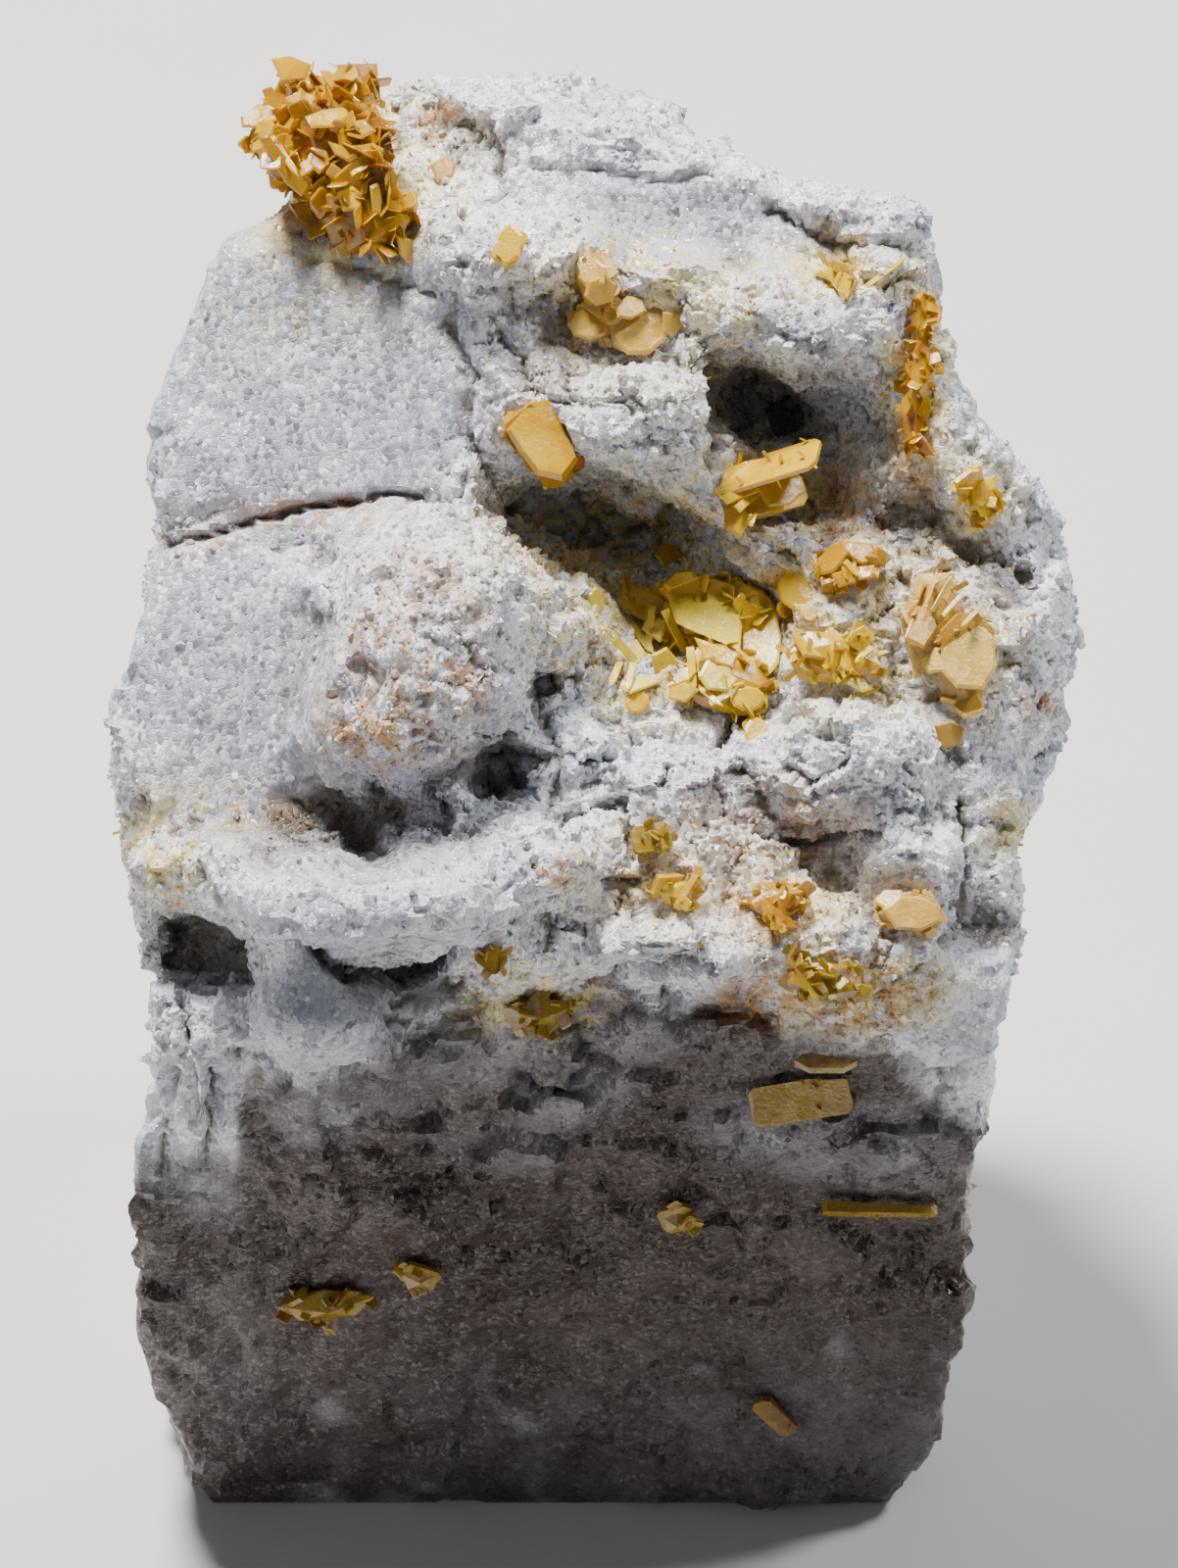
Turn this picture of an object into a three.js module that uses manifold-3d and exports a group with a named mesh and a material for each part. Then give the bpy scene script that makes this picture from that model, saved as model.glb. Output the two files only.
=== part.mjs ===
// Wulfenite on quartz: a broken block of granular quartz, open with small vugs, that carries
// clusters and single tablets of wulfenite on the face that looks up and forwards.
import * as THREE from "three";
import { ConvexGeometry } from "three/addons/geometries/ConvexGeometry.js";
import { mergeVertices } from "three/addons/utils/BufferGeometryUtils.js";
import Module from "manifold-3d";

const wasm = await Module();
wasm.setup();

// Driving dimensions, in millimetres and degrees. The origin lies in the flat foot, +Z is up, and
// the crystal face looks towards -Y and up.
const FACE_LOOKS_UP_DEG = 40;
const FACE_MIDDLE = new THREE.Vector3(0, -10, 45.8);
const EYE_DISTANCE = 450;
const BLOCK_DEPTH = 54;
const CONTACT_GAP = 0.36;

// Sections of the block's loft up the face, as stretches [from, to, step], and columns across it.
const SECTION_STRETCHES = [[-41, -14.5, 2.5], [-14.5, 29, 1.36], [29, 32.4, 0.65], [32.4, 37, 1.3]];
const FRONT_COLUMNS = 31;
const SIDE_COLUMNS = 4;
const VERTEX_JOG = 0.32;
const WALL_SLOPE = 0.05;
const WALL_ROUGHNESS = 1.8;
const WALL_LUMP_SIZE = 6.5;

// Roughness of the broken surface: how much it swings and how wide its lumps are. Where the rock
// broke smooth only part of the swing is left.
const FINE_LUMPS = { swing: 0.34, size: 2.3 };
const BROAD_LUMPS = { swing: 0.4, size: 4.6 };
const CALM_SHARE = 0.3;

// The exponents that give a knoll's dome: a round one and a level one with steep sides.
const ROUND_DOME = 2.2;
const LEVEL_DOME = 4.5;

// Colours and finishes of the two minerals.
const QUARTZ = new THREE.MeshStandardMaterial({ color: 0xc3c6cc, roughness: 0.62, metalness: 0 });
const YELLOW = new THREE.MeshStandardMaterial({ color: 0xe0bf3e, roughness: 0.3, metalness: 0 });
const ORANGE = new THREE.MeshStandardMaterial({ color: 0xd88f1c, roughness: 0.25, metalness: 0 });
const TAN = new THREE.MeshStandardMaterial({ color: 0xc99d5a, roughness: 0.4, metalness: 0 });
const OLIVE = new THREE.MeshStandardMaterial({ color: 0xa99432, roughness: 0.35, metalness: 0 });

// The face frame: u runs across the crystal face, v up it and w straight out of it. Every piece is
// modelled in that frame, and one leaning group stands them upright.
const face = new THREE.Group();
face.rotation.x = THREE.MathUtils.degToRad(90 - FACE_LOOKS_UP_DEG);
face.position.copy(FACE_MIDDLE);
face.updateMatrixWorld(true);
const uprightToFace = face.matrixWorld.clone().invert();

// A point that an eye straight out from the face sees at (u, v), lying w out of the face.
function seen(u, v, w) {
  const nearer = 1 - w / EYE_DISTANCE;
  return new THREE.Vector3(u * nearer, v * nearer, w);
}

// Repeatable random numbers from 0 to 1.
function dice(seed) {
  let state = seed >>> 0;
  return () => {
    state = (state + 0x6d2b79f5) >>> 0;
    let mixed = Math.imul(state ^ (state >>> 15), 1 | state);
    mixed = (mixed + Math.imul(mixed ^ (mixed >>> 7), 61 | mixed)) ^ mixed;
    return ((mixed ^ (mixed >>> 14)) >>> 0) / 4294967296;
  };
}

// A repeatable number from -1 to 1 for each point of a lattice.
function latticeValue(i, j, k) {
  const roll = dice(Math.imul(i, 374761393) + Math.imul(j, 668265263) + Math.imul(k, 1274126177));
  roll();
  return 2 * roll() - 1;
}

// Smooth noise from -1 to 1 whose features are about `size` millimetres wide.
function noise(u, v, seed, size) {
  const { lerp, smoothstep } = THREE.MathUtils;
  const i = Math.floor(u / size);
  const j = Math.floor(v / size);
  const a = smoothstep(u / size - i, 0, 1);
  const b = smoothstep(v / size - j, 0, 1);
  const low = lerp(latticeValue(i, j, seed), latticeValue(i + 1, j, seed), a);
  const high = lerp(latticeValue(i, j + 1, seed), latticeValue(i + 1, j + 1, seed), a);
  return lerp(low, high, b);
}

// Straight-line reading of a list of [v, value] pairs that runs from low v to high v.
function readOff(pairs, v) {
  const next = pairs.findIndex(([at]) => at > v);
  if (next === -1) return pairs[pairs.length - 1][1];
  if (next === 0) return pairs[0][1];
  const [v0, a] = pairs[next - 1];
  const [v1, b] = pairs[next];
  return a + ((b - a) * (v - v0)) / (v1 - v0);
}

// A closed geometry as a solid, and a solid as a geometry.
function solidOf(geometry, matrix = new THREE.Matrix4()) {
  const bare = new THREE.BufferGeometry();
  const flat = geometry.index ? geometry.toNonIndexed() : geometry;
  bare.setAttribute("position", flat.getAttribute("position").clone());
  const merged = mergeVertices(bare.applyMatrix4(matrix), 1e-4);
  const vertProperties = merged.attributes.position.array;
  const triVerts = new Uint32Array(merged.index.array);
  return new wasm.Manifold(new wasm.Mesh({ numProp: 3, vertProperties, triVerts }));
}

function geometryOf(solid) {
  const { numProp, numVert, vertProperties, triVerts } = solid.getMesh();
  const positions = new Float32Array(numVert * 3);
  for (let i = 0; i < numVert; i += 1) {
    positions.set(vertProperties.subarray(i * numProp, i * numProp + 3), i * 3);
  }
  const geometry = new THREE.BufferGeometry();
  geometry.setAttribute("position", new THREE.BufferAttribute(positions, 3));
  geometry.setIndex(new THREE.BufferAttribute(triVerts, 1));
  geometry.computeVertexNormals();
  return geometry;
}

// The piece of a solid with the most volume, without the crumbs that cutting leaves.
function largestPiece(solid) {
  return solid.decompose().reduce((best, body) => (body.volume() > best.volume() ? body : best));
}

// Outline of the block as seen straight on to the crystal face: [v, u] of its left and right edges.
const LEFT_EDGE = [
  [-40, -18.5], [-36.8, -19.2], [-36, -20.2], [-34.5, -20.5], [-32, -21.7], [-29.8, -22.9],
  [-24.5, -23.1], [-22, -23.6], [-19.5, -23.4], [-17.5, -22.8], [-14, -22.7], [-12, -22.2],
  [-10, -22.6], [-7, -22.7], [-4.5, -23.7], [-2, -23.9], [1, -24.7], [2.8, -24.8], [5, -24.2],
  [7.5, -23.4], [10.5, -22.6], [12, -22], [13.2, -22.2], [15, -22.6], [18, -22.9], [19.8, -22.1],
  [22.5, -21.1], [25, -19.9], [27, -19.5], [28, -18.2], [28.8, -16.2], [29.8, -15], [36.9, -14],
];
const RIGHT_EDGE = [
  [-40, 13], [-36.9, 14.5], [-34.5, 17.5], [-31, 18.3], [-27.5, 19], [-24, 19.6], [-19, 19.7],
  [-15.5, 20.8], [-13, 21.1], [-10.5, 21.5], [-8.5, 22.3], [-5, 22.2], [-3, 22.2], [0, 23.3],
  [3, 24.3], [6, 24.8], [10, 24.9], [12.8, 24.3], [15, 23.1], [16.8, 21.5], [19, 20], [21, 18.8],
  [23.5, 18.2], [27, 18], [29.4, 17.8], [30.1, 16.8], [30.65, 12.5], [31.2, 8.5], [31.8, 6.8],
  [33.5, 5.6], [35, 4], [35.5, 1], [36.2, -4], [36.9, -9],
];

// Broad fracture faces of the crystal side. At each place the surface is the lowest of them:
// w where u and v are zero, and how much w rises for each millimetre of u and of v.
const FRACTURE_FACES = [
  { of: "crystal face", w: 1, perU: 0, perV: -0.03 },
  { of: "dark front below the brow", w: 14.6, perU: 0.02, perV: 1.06 },
  { of: "top behind the crest", w: 52, perU: 0, perV: -1.68 },
  { of: "left shoulder", w: 17.5, perU: 0.75, perV: -0.02 },
  { of: "right shoulder", w: 23.5, perU: -1.05, perV: 0.02 },
];

// Knolls that stand out of those faces, [u, v] of the middle, half widths, w of the top, how far
// the rim lies below the top and the turn in degrees. A flat one has a wide level top.
const KNOLLS = [
  { of: "upper left block", at: [-15, 20.4], half: [9.5, 9.6], top: 1.2, fall: 1.6, flat: true },
  { of: "hanging lobe of it", at: [-20, 15.6], half: [3, 3.2], top: 1.9, fall: 1.6, flat: true },
  { of: "left block", at: [-17.6, 4.6], half: [7.8, 8.2], top: 2.4, fall: 2.4, flat: true },
  { of: "bulge, upper", at: [-6.6, 9.2], half: [5.4, 5.3], top: 9.4, fall: 8.4, turn: 20 },
  { of: "bulge, lower", at: [-9.2, 3.7], half: [5.9, 4], top: 10, fall: 8.6, turn: 10 },
  { of: "bulge, middle", at: [-8.4, 6.8], half: [5.6, 6.6], top: 10.4, fall: 7.6, turn: 12 },
  { of: "bulge, right knob", at: [-1.7, 8.2], half: [2, 2.2], top: 4.6, fall: 4.6 },
  { of: "ledge", at: [-12.2, -6.3], half: [7.8, 2.9], top: 12, fall: 5.4, turn: 3, flat: true },
  { of: "ledge, inner end", at: [-4.2, -4.6], half: [5.4, 3.4], top: 9, fall: 5.4, turn: 10 },
  { of: "peak of the ledge", at: [-18.5, -4.2], half: [1.7, 2.5], top: 10.6, fall: 4.4, turn: 12 },
  { of: "lump under the ledge", at: [-14, -11.5], half: [4.2, 3.9], top: 8.4, fall: 6.4, turn: -12 },
  { of: "tail of that lump", at: [-11.6, -13.8], half: [3, 1.8], top: 4.6, fall: 4 },
  { of: "shelf of the left flank", at: [-20.8, -4.6], half: [2.8, 2], top: 3.4, fall: 3 },
  { of: "left splinters", at: [-20.2, -14.2], half: [2.2, 4.6], top: 1.4, fall: 4.4, turn: 14 },
  { of: "chip on the dark front", at: [-14.1, -16.8], half: [2.3, 1.4], top: 0, fall: 2.4, turn: 22 },
  { of: "terrace, left", at: [-1.6, -15.9], half: [3, 1.4], top: -0.4, fall: 2.2 },
  { of: "terrace, right", at: [9, -17.8], half: [4.6, 1.5], top: -2.2, fall: 2.4, turn: -8 },
  { of: "terrace, low right", at: [15, -19.2], half: [4.6, 2.2], top: -4, fall: 2.8, turn: -6 },
  { of: "terrace, low left", at: [-10, -21.4], half: [6, 2.2], top: -6.4, fall: 2.4, turn: 6 },
  { of: "granular knob", at: [-1.2, 1.6], half: [2.6, 2.1], top: 4.8, fall: 3.4 },
  { of: "granular mound, middle", at: [4.6, 0], half: [5, 3.2], top: 4.4, fall: 3.6 },
  { of: "granular mound, right", at: [13.4, 1.2], half: [5, 3.6], top: 5.6, fall: 4.4, turn: -8 },
  { of: "granular slope", at: [3.4, -4.6], half: [7.6, 3.4], top: 5, fall: 3 },
  { of: "brow of the dark front", at: [4.4, -8.7], half: [4.8, 2.1], top: 7, fall: 3.4, flat: true },
  { of: "brow, left", at: [-4.2, -8.8], half: [4.4, 1.8], top: 6.4, fall: 3, turn: -6 },
  { of: "brow, right", at: [11, -8], half: [4.2, 3], top: 5.6, fall: 3.6, turn: -14 },
  { of: "brow, far right", at: [17, -8.8], half: [2.6, 3.4], top: 4, fall: 3.4 },
  { of: "hump of the right slope", at: [16.3, -3.8], half: [3, 1.7], top: 4.6, fall: 2.8 },
  { of: "knob of the right flank", at: [20.2, -4.9], half: [2, 1.5], top: 1.7, fall: 2.6 },
  { of: "face of the right flank", at: [20, -10.8], half: [2.2, 3.4], top: 1.4, fall: 3.4, flat: true },
  { of: "right shoulder", at: [19.8, 7.4], half: [4.8, 7], top: 1.8, fall: 4, flat: true },
  { of: "slope below the vug", at: [12.4, 7.4], half: [4.4, 2.8], top: 2.2, fall: 3 },
  { of: "upper shoulder", at: [18.9, 16.6], half: [2.2, 4.6], top: 2.6, fall: 3.4, turn: 12 },
  { of: "saddle under the slit", at: [13.4, 10.8], half: [2.6, 1.4], top: 1, fall: 2 },
  { of: "brow over the vug", at: [2.4, 18.9], half: [4.5, 3.1], top: 4.6, fall: 4, flat: true },
  { of: "underside of that brow", at: [3.4, 15.8], half: [3.6, 1.8], top: 0.8, fall: 3 },
  { of: "crumbling slope beside it", at: [-3.6, 21.2], half: [3.5, 2.7], top: 2.8, fall: 2.6, turn: -30 },
  { of: "flake beside the stout crystal", at: [-5.6, 17.2], half: [2, 1.6], top: 2, fall: 2.2, turn: -40 },
  { of: "grey knob", at: [-5.7, 27.2], half: [2.7, 2.9], top: 4.4, fall: 4 },
  { of: "small knob", at: [-2.1, 25.6], half: [1.7, 1.7], top: 4.2, fall: 3.2 },
  { of: "white knob", at: [0.8, 28.5], half: [3.1, 1.5], top: 4.4, fall: 3.4, turn: -10 },
  { of: "bank under the white knob", at: [4, 25.6], half: [4.4, 2.2], top: 2.8, fall: 2.6, turn: -14 },
  { of: "roll over the cave", at: [10.4, 23.6], half: [6.4, 2.9], top: 4, fall: 3.8, turn: -12 },
  { of: "end of that roll", at: [15.2, 24.6], half: [2.4, 4.2], top: 2.8, fall: 2.8 },
  { of: "crest, right", at: [13.6, 29], half: [4.6, 1.8], top: 2, fall: 1.8 },
  { of: "ridge of the crest", at: [0.2, 33.1], half: [7.8, 1.2], top: 0.4, fall: 3, turn: -13 },
  { of: "back block of the crest", at: [-2, 35], half: [7.5, 1.6], top: -3.4, fall: 3, turn: -9 },
];

// Hollows sunk into them in the same way, with w of the floor and how far the rim lies above it.
const PITS = [
  { of: "vug", at: [1.2, 12.8], half: [7.2, 3.1], floor: -8.4, rise: 9, turn: -14 },
  { of: "nest of the vug cluster", at: [5.6, 8.6], half: [5.4, 3], floor: -3.6, rise: 4.6, turn: -6 },
  { of: "cave", at: [8.2, 19.4], half: [1.5, 2.1], floor: -13, rise: 13.5, turn: 12 },
  { of: "upper corner of the cave", at: [7.3, 20.7], half: [0.9, 1.1], floor: -8, rise: 9 },
  { of: "right pocket of the cave", at: [10, 18.3], half: [1.6, 1.5], floor: -11, rise: 11, turn: -30 },
  { of: "side of the cave", at: [12.2, 18.5], half: [3, 2.6], floor: -5.4, rise: 6.4, turn: -8 },
  { of: "throat between cave and vug", at: [11, 14.6], half: [3.6, 1.9], floor: -5, rise: 5.6, turn: -8 },
  { of: "slit", at: [18, 12.9], half: [5.2, 0.95], floor: -4.4, rise: 5.6, turn: -24 },
  { of: "slot beside the bulge", at: [-4.4, 1.2], half: [0.95, 2.5], floor: -1, rise: 7, turn: -30 },
  { of: "recess under the bulge", at: [-12.2, -2.2], half: [6.2, 1.7], floor: 0.6, rise: 7, flat: true },
  { of: "recess of the left flank", at: [-20.2, -8.6], half: [3, 1.6], floor: -4, rise: 6, flat: true },
  { of: "crescent under ledge", at: [-10.2, -9.8], half: [4.6, 1.1], floor: 1.6, rise: 6.4, turn: -5 },
  { of: "groove on the right", at: [16.8, 20.8], half: [1, 4.8], floor: 0.2, rise: 2.2 },
  { of: "notch of the right flank", at: [20.3, -7.2], half: [2.2, 0.9], floor: -3.4, rise: 4 },
  { of: "notch below the cap cluster", at: [-15, 28.7], half: [2.2, 1], floor: -2.6, rise: 3.2 },
  { of: "gap between the knobs", at: [-2.6, 24], half: [1.5, 1], floor: -0.6, rise: 3 },
  { of: "hollow under the crest", at: [5.2, 28.9], half: [6.6, 2.5], floor: -0.6, rise: 1.8, turn: -12 },
  { of: "undercut of the brow, left", at: [-4, -11.6], half: [6, 1.3], floor: 0.2, rise: 2.4, turn: -4 },
  { of: "undercut of the brow, right", at: [9, -12.2], half: [7, 1.3], floor: -0.4, rise: 2.4, turn: -12 },
];

// Where the rock broke smooth instead of granular.
const CALM_FACES = [
  { of: "upper left block", at: [-14.6, 20.6], half: [9, 9] },
  { of: "left block", at: [-18, 5], half: [6.4, 8.4] },
  { of: "face under the crest", at: [5.2, 28.8], half: [7.4, 3], turn: -12 },
  { of: "face of the right flank", at: [20, -10.8], half: [3, 4] },
];

// How far out a point lies in an ellipse: 0 at the middle and 1 at the rim.
function reach(u, v, { at, half, turn = 0 }) {
  const angle = THREE.MathUtils.degToRad(turn);
  const du = u - at[0];
  const dv = v - at[1];
  const along = (du * Math.cos(angle) + dv * Math.sin(angle)) / half[0];
  const across = (dv * Math.cos(angle) - du * Math.sin(angle)) / half[1];
  return Math.hypot(along, across);
}

// Height of a dome over an ellipse, 1 at the middle and 0 at the rim; a flat one is a low box.
function dome(r, flat = false) {
  const power = flat ? LEVEL_DOME : ROUND_DOME;
  return Math.pow(Math.max(0, 1 - Math.pow(r, power)), 1 / power);
}

// How far the block's surface stands out of the face frame at (u, v).
function surfaceHeight(u, v) {
  let w = Math.min(...FRACTURE_FACES.map((plane) => plane.w + plane.perU * u + plane.perV * v));
  for (const knoll of KNOLLS) {
    const r = reach(u, v, knoll);
    if (r < 1) w = Math.max(w, knoll.top - knoll.fall * (1 - dome(r, knoll.flat)));
  }
  for (const pit of PITS) {
    const r = reach(u, v, pit);
    if (r < 1) w = Math.min(w, pit.floor + pit.rise * (1 - dome(r, pit.flat)));
  }
  const calm = CALM_FACES.some((zone) => reach(u, v, zone) < 1) ? CALM_SHARE : 1;
  const fine = FINE_LUMPS.swing * noise(u, v, 5, FINE_LUMPS.size);
  return w + calm * (fine + BROAD_LUMPS.swing * noise(u, v, 9, BROAD_LUMPS.size));
}

// An edge of the outline with its knocks averaged out, which the side walls take on behind it.
function averageEdge(edges, v) {
  const near = [-6, -3, 0, 3, 6].map((step) => readOff(edges, v + step));
  return near.reduce((sum, u) => sum + u) / near.length;
}

// The block before it is cut to its back and foot: a loft of sections across the face, each one
// the relief of the front closed by two side walls and a back.
function loftedBlock() {
  const sections = SECTION_STRETCHES.flatMap(([from, to, step]) => {
    const count = Math.round((to - from) / step);
    return Array.from({ length: count }, (_, i) => from + (i * (to - from)) / count);
  });
  const ring = FRONT_COLUMNS + 2 * SIDE_COLUMNS;
  const positions = [];
  sections.forEach((v, row) => {
    const left = readOff(LEFT_EDGE, v);
    const right = readOff(RIGHT_EDGE, v);
    for (let i = 0; i <= FRONT_COLUMNS; i += 1) {
      const jog = i > 0 && i < FRONT_COLUMNS ? VERTEX_JOG : 0;
      const u = THREE.MathUtils.lerp(left, right, i / FRONT_COLUMNS) + jog * latticeValue(i, row, 31);
      const jogged = v + jog * latticeValue(i, row, 32);
      positions.push(...seen(u, jogged, surfaceHeight(u, jogged)).toArray());
    }
    const wall = (edges, inwards, step) => {
      const back = step / SIDE_COLUMNS;
      const depth = BLOCK_DEPTH * Math.pow(back, 1.25);
      const edge = readOff(edges, v);
      const eased = THREE.MathUtils.lerp(edge, averageEdge(edges, v), Math.min(1, 3 * back));
      const lumps = 1 + noise(depth, v, 21 + inwards, WALL_LUMP_SIZE);
      const set = WALL_SLOPE * depth + WALL_ROUGHNESS * back * lumps;
      const u = inwards * Math.max(inwards * edge, inwards * eased) + inwards * set;
      positions.push(...seen(u, v, surfaceHeight(edge, v) - depth).toArray());
    };
    for (let step = 1; step <= SIDE_COLUMNS; step += 1) wall(RIGHT_EDGE, -1, step);
    for (let step = SIDE_COLUMNS; step >= 2; step -= 1) wall(LEFT_EDGE, 1, step);
  });
  const indices = [];
  const last = sections.length - 1;
  const at = (row, i) => row * ring + (i % ring);
  for (let row = 0; row < last; row += 1) {
    for (let i = 0; i < ring; i += 1) {
      const [a, b, c, d] = [at(row, i), at(row, i + 1), at(row + 1, i + 1), at(row + 1, i)];
      if ((row + i) % 2) indices.push(a, b, c, a, c, d);
      else indices.push(a, b, d, b, c, d);
    }
  }
  for (let i = 1; i < ring - 1; i += 1) {
    indices.push(at(0, 0), at(0, i + 1), at(0, i));
    indices.push(at(last, 0), at(last, i), at(last, i + 1));
  }
  const geometry = new THREE.BufferGeometry();
  geometry.setAttribute("position", new THREE.Float32BufferAttribute(positions, 3));
  geometry.setIndex(indices);
  return solidOf(geometry);
}

// Corners of the broken shape that the block is cut to, upright: the foot is its flat underside,
// and its front corners stand clear of the block so that only the back and foot cut.
const ROUGH_CUT_CORNERS = [
  [-60, -60, 0], [60, -60, 0], [-60, -60, 90], [60, -60, 90],
  [-20, 12, 0], [-12, 17, 0], [11, 16, 0], [18, 9, 0],
  [-27, 0, 24], [-23, 17, 30], [17, 20.5, 28], [27, 4, 30],
  [-17, 19, 90], [10, 22, 90], [24, 12, 90], [-27, 6, 90],
];

function roughCut() {
  const corners = ROUGH_CUT_CORNERS.map((corner) => new THREE.Vector3(...corner));
  return solidOf(new ConvexGeometry(corners), uprightToFace);
}

// Scoops that the break left in the back and sides, upright: middle and half sizes.
const SCOOPS = [
  { at: [-6, 25, 44], half: [13, 7, 15], turn: 10, seed: 71 },
  { at: [14, 24, 24], half: [12, 6, 12], turn: -20, seed: 72 },
  { at: [-20, 20, 16], half: [9, 8, 13], turn: 30, seed: 73 },
  { at: [29, 8, 38], half: [6, 10, 12], turn: 0, seed: 74 },
  { at: [-30, 4, 34], half: [7, 11, 10], turn: 0, seed: 75 },
  { at: [27, 0, 12], half: [6, 9, 8], turn: 0, seed: 76 },
  { at: [4, 24, 66], half: [12, 7, 6], turn: 0, seed: 77 },
];

function scoop({ at, half, turn, seed }) {
  const place = new THREE.Matrix4().makeTranslation(...at);
  return lump({ at: [0, 0, 0], half, turn, seed, detail: 1, place });
}

// A lump with broken faces: an icosahedron squeezed to its half sizes, each corner knocked about.
function lump({ at, half, turn = 0, seed = 1, rough = 0.2, detail = 0, place }) {
  const geometry = new THREE.IcosahedronGeometry(1, detail);
  geometry.deleteAttribute("normal");
  geometry.deleteAttribute("uv");
  const corners = mergeVertices(geometry);
  const position = corners.getAttribute("position");
  for (let i = 0; i < position.count; i += 1) {
    const knock = 1 + rough * latticeValue(i, seed, 77);
    position.setXYZ(i, position.getX(i) * knock, position.getY(i) * knock, position.getZ(i) * knock);
  }
  const spin = new THREE.Quaternion();
  spin.setFromAxisAngle(new THREE.Vector3(0, 0, 1), THREE.MathUtils.degToRad(turn));
  const shaped = new THREE.Matrix4().compose(seen(...at), spin, new THREE.Vector3(...half));
  return solidOf(corners, place ? uprightToFace.clone().multiply(place).multiply(shaped) : shaped);
}

// Small sharp holes, and the chip broken out of the foot's front edge.
const HOLES = [
  { at: [-2.5, 24.2, 1.6], half: [0.8, 0.7, 2.6], turn: -20, seed: 53 },
  { at: [-3.8, 22.8, 1.6], half: [0.55, 0.4, 2.2], turn: 0, seed: 54 },
  { at: [-1.6, 21.2, 1.8], half: [0.5, 0.4, 2.4], turn: 0, seed: 55 },
  { at: [-2.2, 19.7, 1.6], half: [1.1, 0.45, 2.6], turn: -60, seed: 56 },
  { at: [15.6, 13.7, -1.6], half: [1.2, 0.9, 4.6], turn: -20, seed: 57 },
  { at: [-1.9, 6.5, 3], half: [1.1, 0.45, 2.4], turn: 8, seed: 58 },
  { at: [-1, 4, 1.8], half: [0.9, 0.5, 2.4], turn: -10, seed: 59 },
  { at: [-1.5, -4.1, 8], half: [0.9, 0.5, 2], turn: 10, seed: 60 },
  { at: [11.2, -3.1, 5], half: [0.7, 0.45, 1.8], turn: 0, seed: 61 },
  { at: [-0.2, 30.6, 0.4], half: [0.9, 0.5, 1.6], turn: -30, seed: 64 },
  { at: [-6.2, -38, -23], half: [3.2, 1.9, 4], turn: 0, seed: 63 },
];

// The crack between the two left blocks: a thin wedge that opens to the left.
const CRACK_OUTLINE = [
  [-24, 11.7], [-19.5, 12.1], [-14.5, 13.5], [-9, 14.2], [-14.5, 14.2], [-19.5, 13], [-24, 13],
];

function leftCrack() {
  const outline = new THREE.Shape(CRACK_OUTLINE.map(([u, v]) => new THREE.Vector2(u, v)));
  const wedge = new THREE.ExtrudeGeometry(outline, { depth: 6, bevelEnabled: false });
  return solidOf(wedge, new THREE.Matrix4().makeTranslation(0, 0, -0.8));
}

function quartzMatrix() {
  let block = loftedBlock().intersect(roughCut()).subtract(leftCrack());
  for (const knock of SCOOPS) block = block.subtract(scoop(knock));
  for (const hole of HOLES) block = block.subtract(lump(hole));
  return largestPiece(block);
}

const rock = quartzMatrix();

// A unit vector out of the block's surface at (u, v), in the face frame.
function surfaceNormal(u, v) {
  const d = 0.4;
  const alongU = (surfaceHeight(u + d, v) - surfaceHeight(u - d, v)) / (2 * d);
  const alongV = (surfaceHeight(u, v + d) - surfaceHeight(u, v - d)) / (2 * d);
  return new THREE.Vector3(-alongU, -alongV, 1).normalize();
}

// A square wulfenite tablet with clipped corners: middle [u, v], lift of the middle above the
// rock, half sizes [across, up, thick], the way its flat side looks and its spin in its own plane.
function tablet({ at, lift = 0.5, half, looks, spin = 0, clip = 0.3 }) {
  const [a, b, thick] = half;
  const c = clip * Math.min(a, b);
  const square = [[a, b], [-a, b], [-a, -b], [a, -b]];
  const clipped = [
    [a, b - c], [a - c, b], [c - a, b], [-a, b - c],
    [-a, c - b], [c - a, -b], [a - c, -b], [a, c - b],
  ];
  const outline = clip ? clipped : square;
  const corners = outline.flatMap(([x, y]) => [-thick, thick].map((z) => new THREE.Vector3(x, y, z)));
  const out = (looks ? new THREE.Vector3(...looks) : surfaceNormal(...at)).normalize();
  const across = new THREE.Vector3(1, 0, 0).addScaledVector(out, -out.x);
  if (across.length() < 0.2) across.set(0, 1, 0).addScaledVector(out, -out.y);
  across.normalize().applyAxisAngle(out, THREE.MathUtils.degToRad(spin));
  const place = new THREE.Matrix4().makeBasis(across, out.clone().cross(across), out);
  place.setPosition(seen(...at, surfaceHeight(...at) + lift));
  return solidOf(new ConvexGeometry(corners), place);
}

// The root that a cluster's crystals grow from: a low lump half sunk in the rock.
function root({ at, lift = 0, half, turn = 0, seed = 7 }) {
  return lump({ at: [...at, surfaceHeight(...at) + lift], half, turn, seed, rough: 0.14 });
}

// The golden angle, by which each strewn tablet is turned on from the last, in radians.
const GOLDEN_ANGLE = 2.399963;

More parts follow.
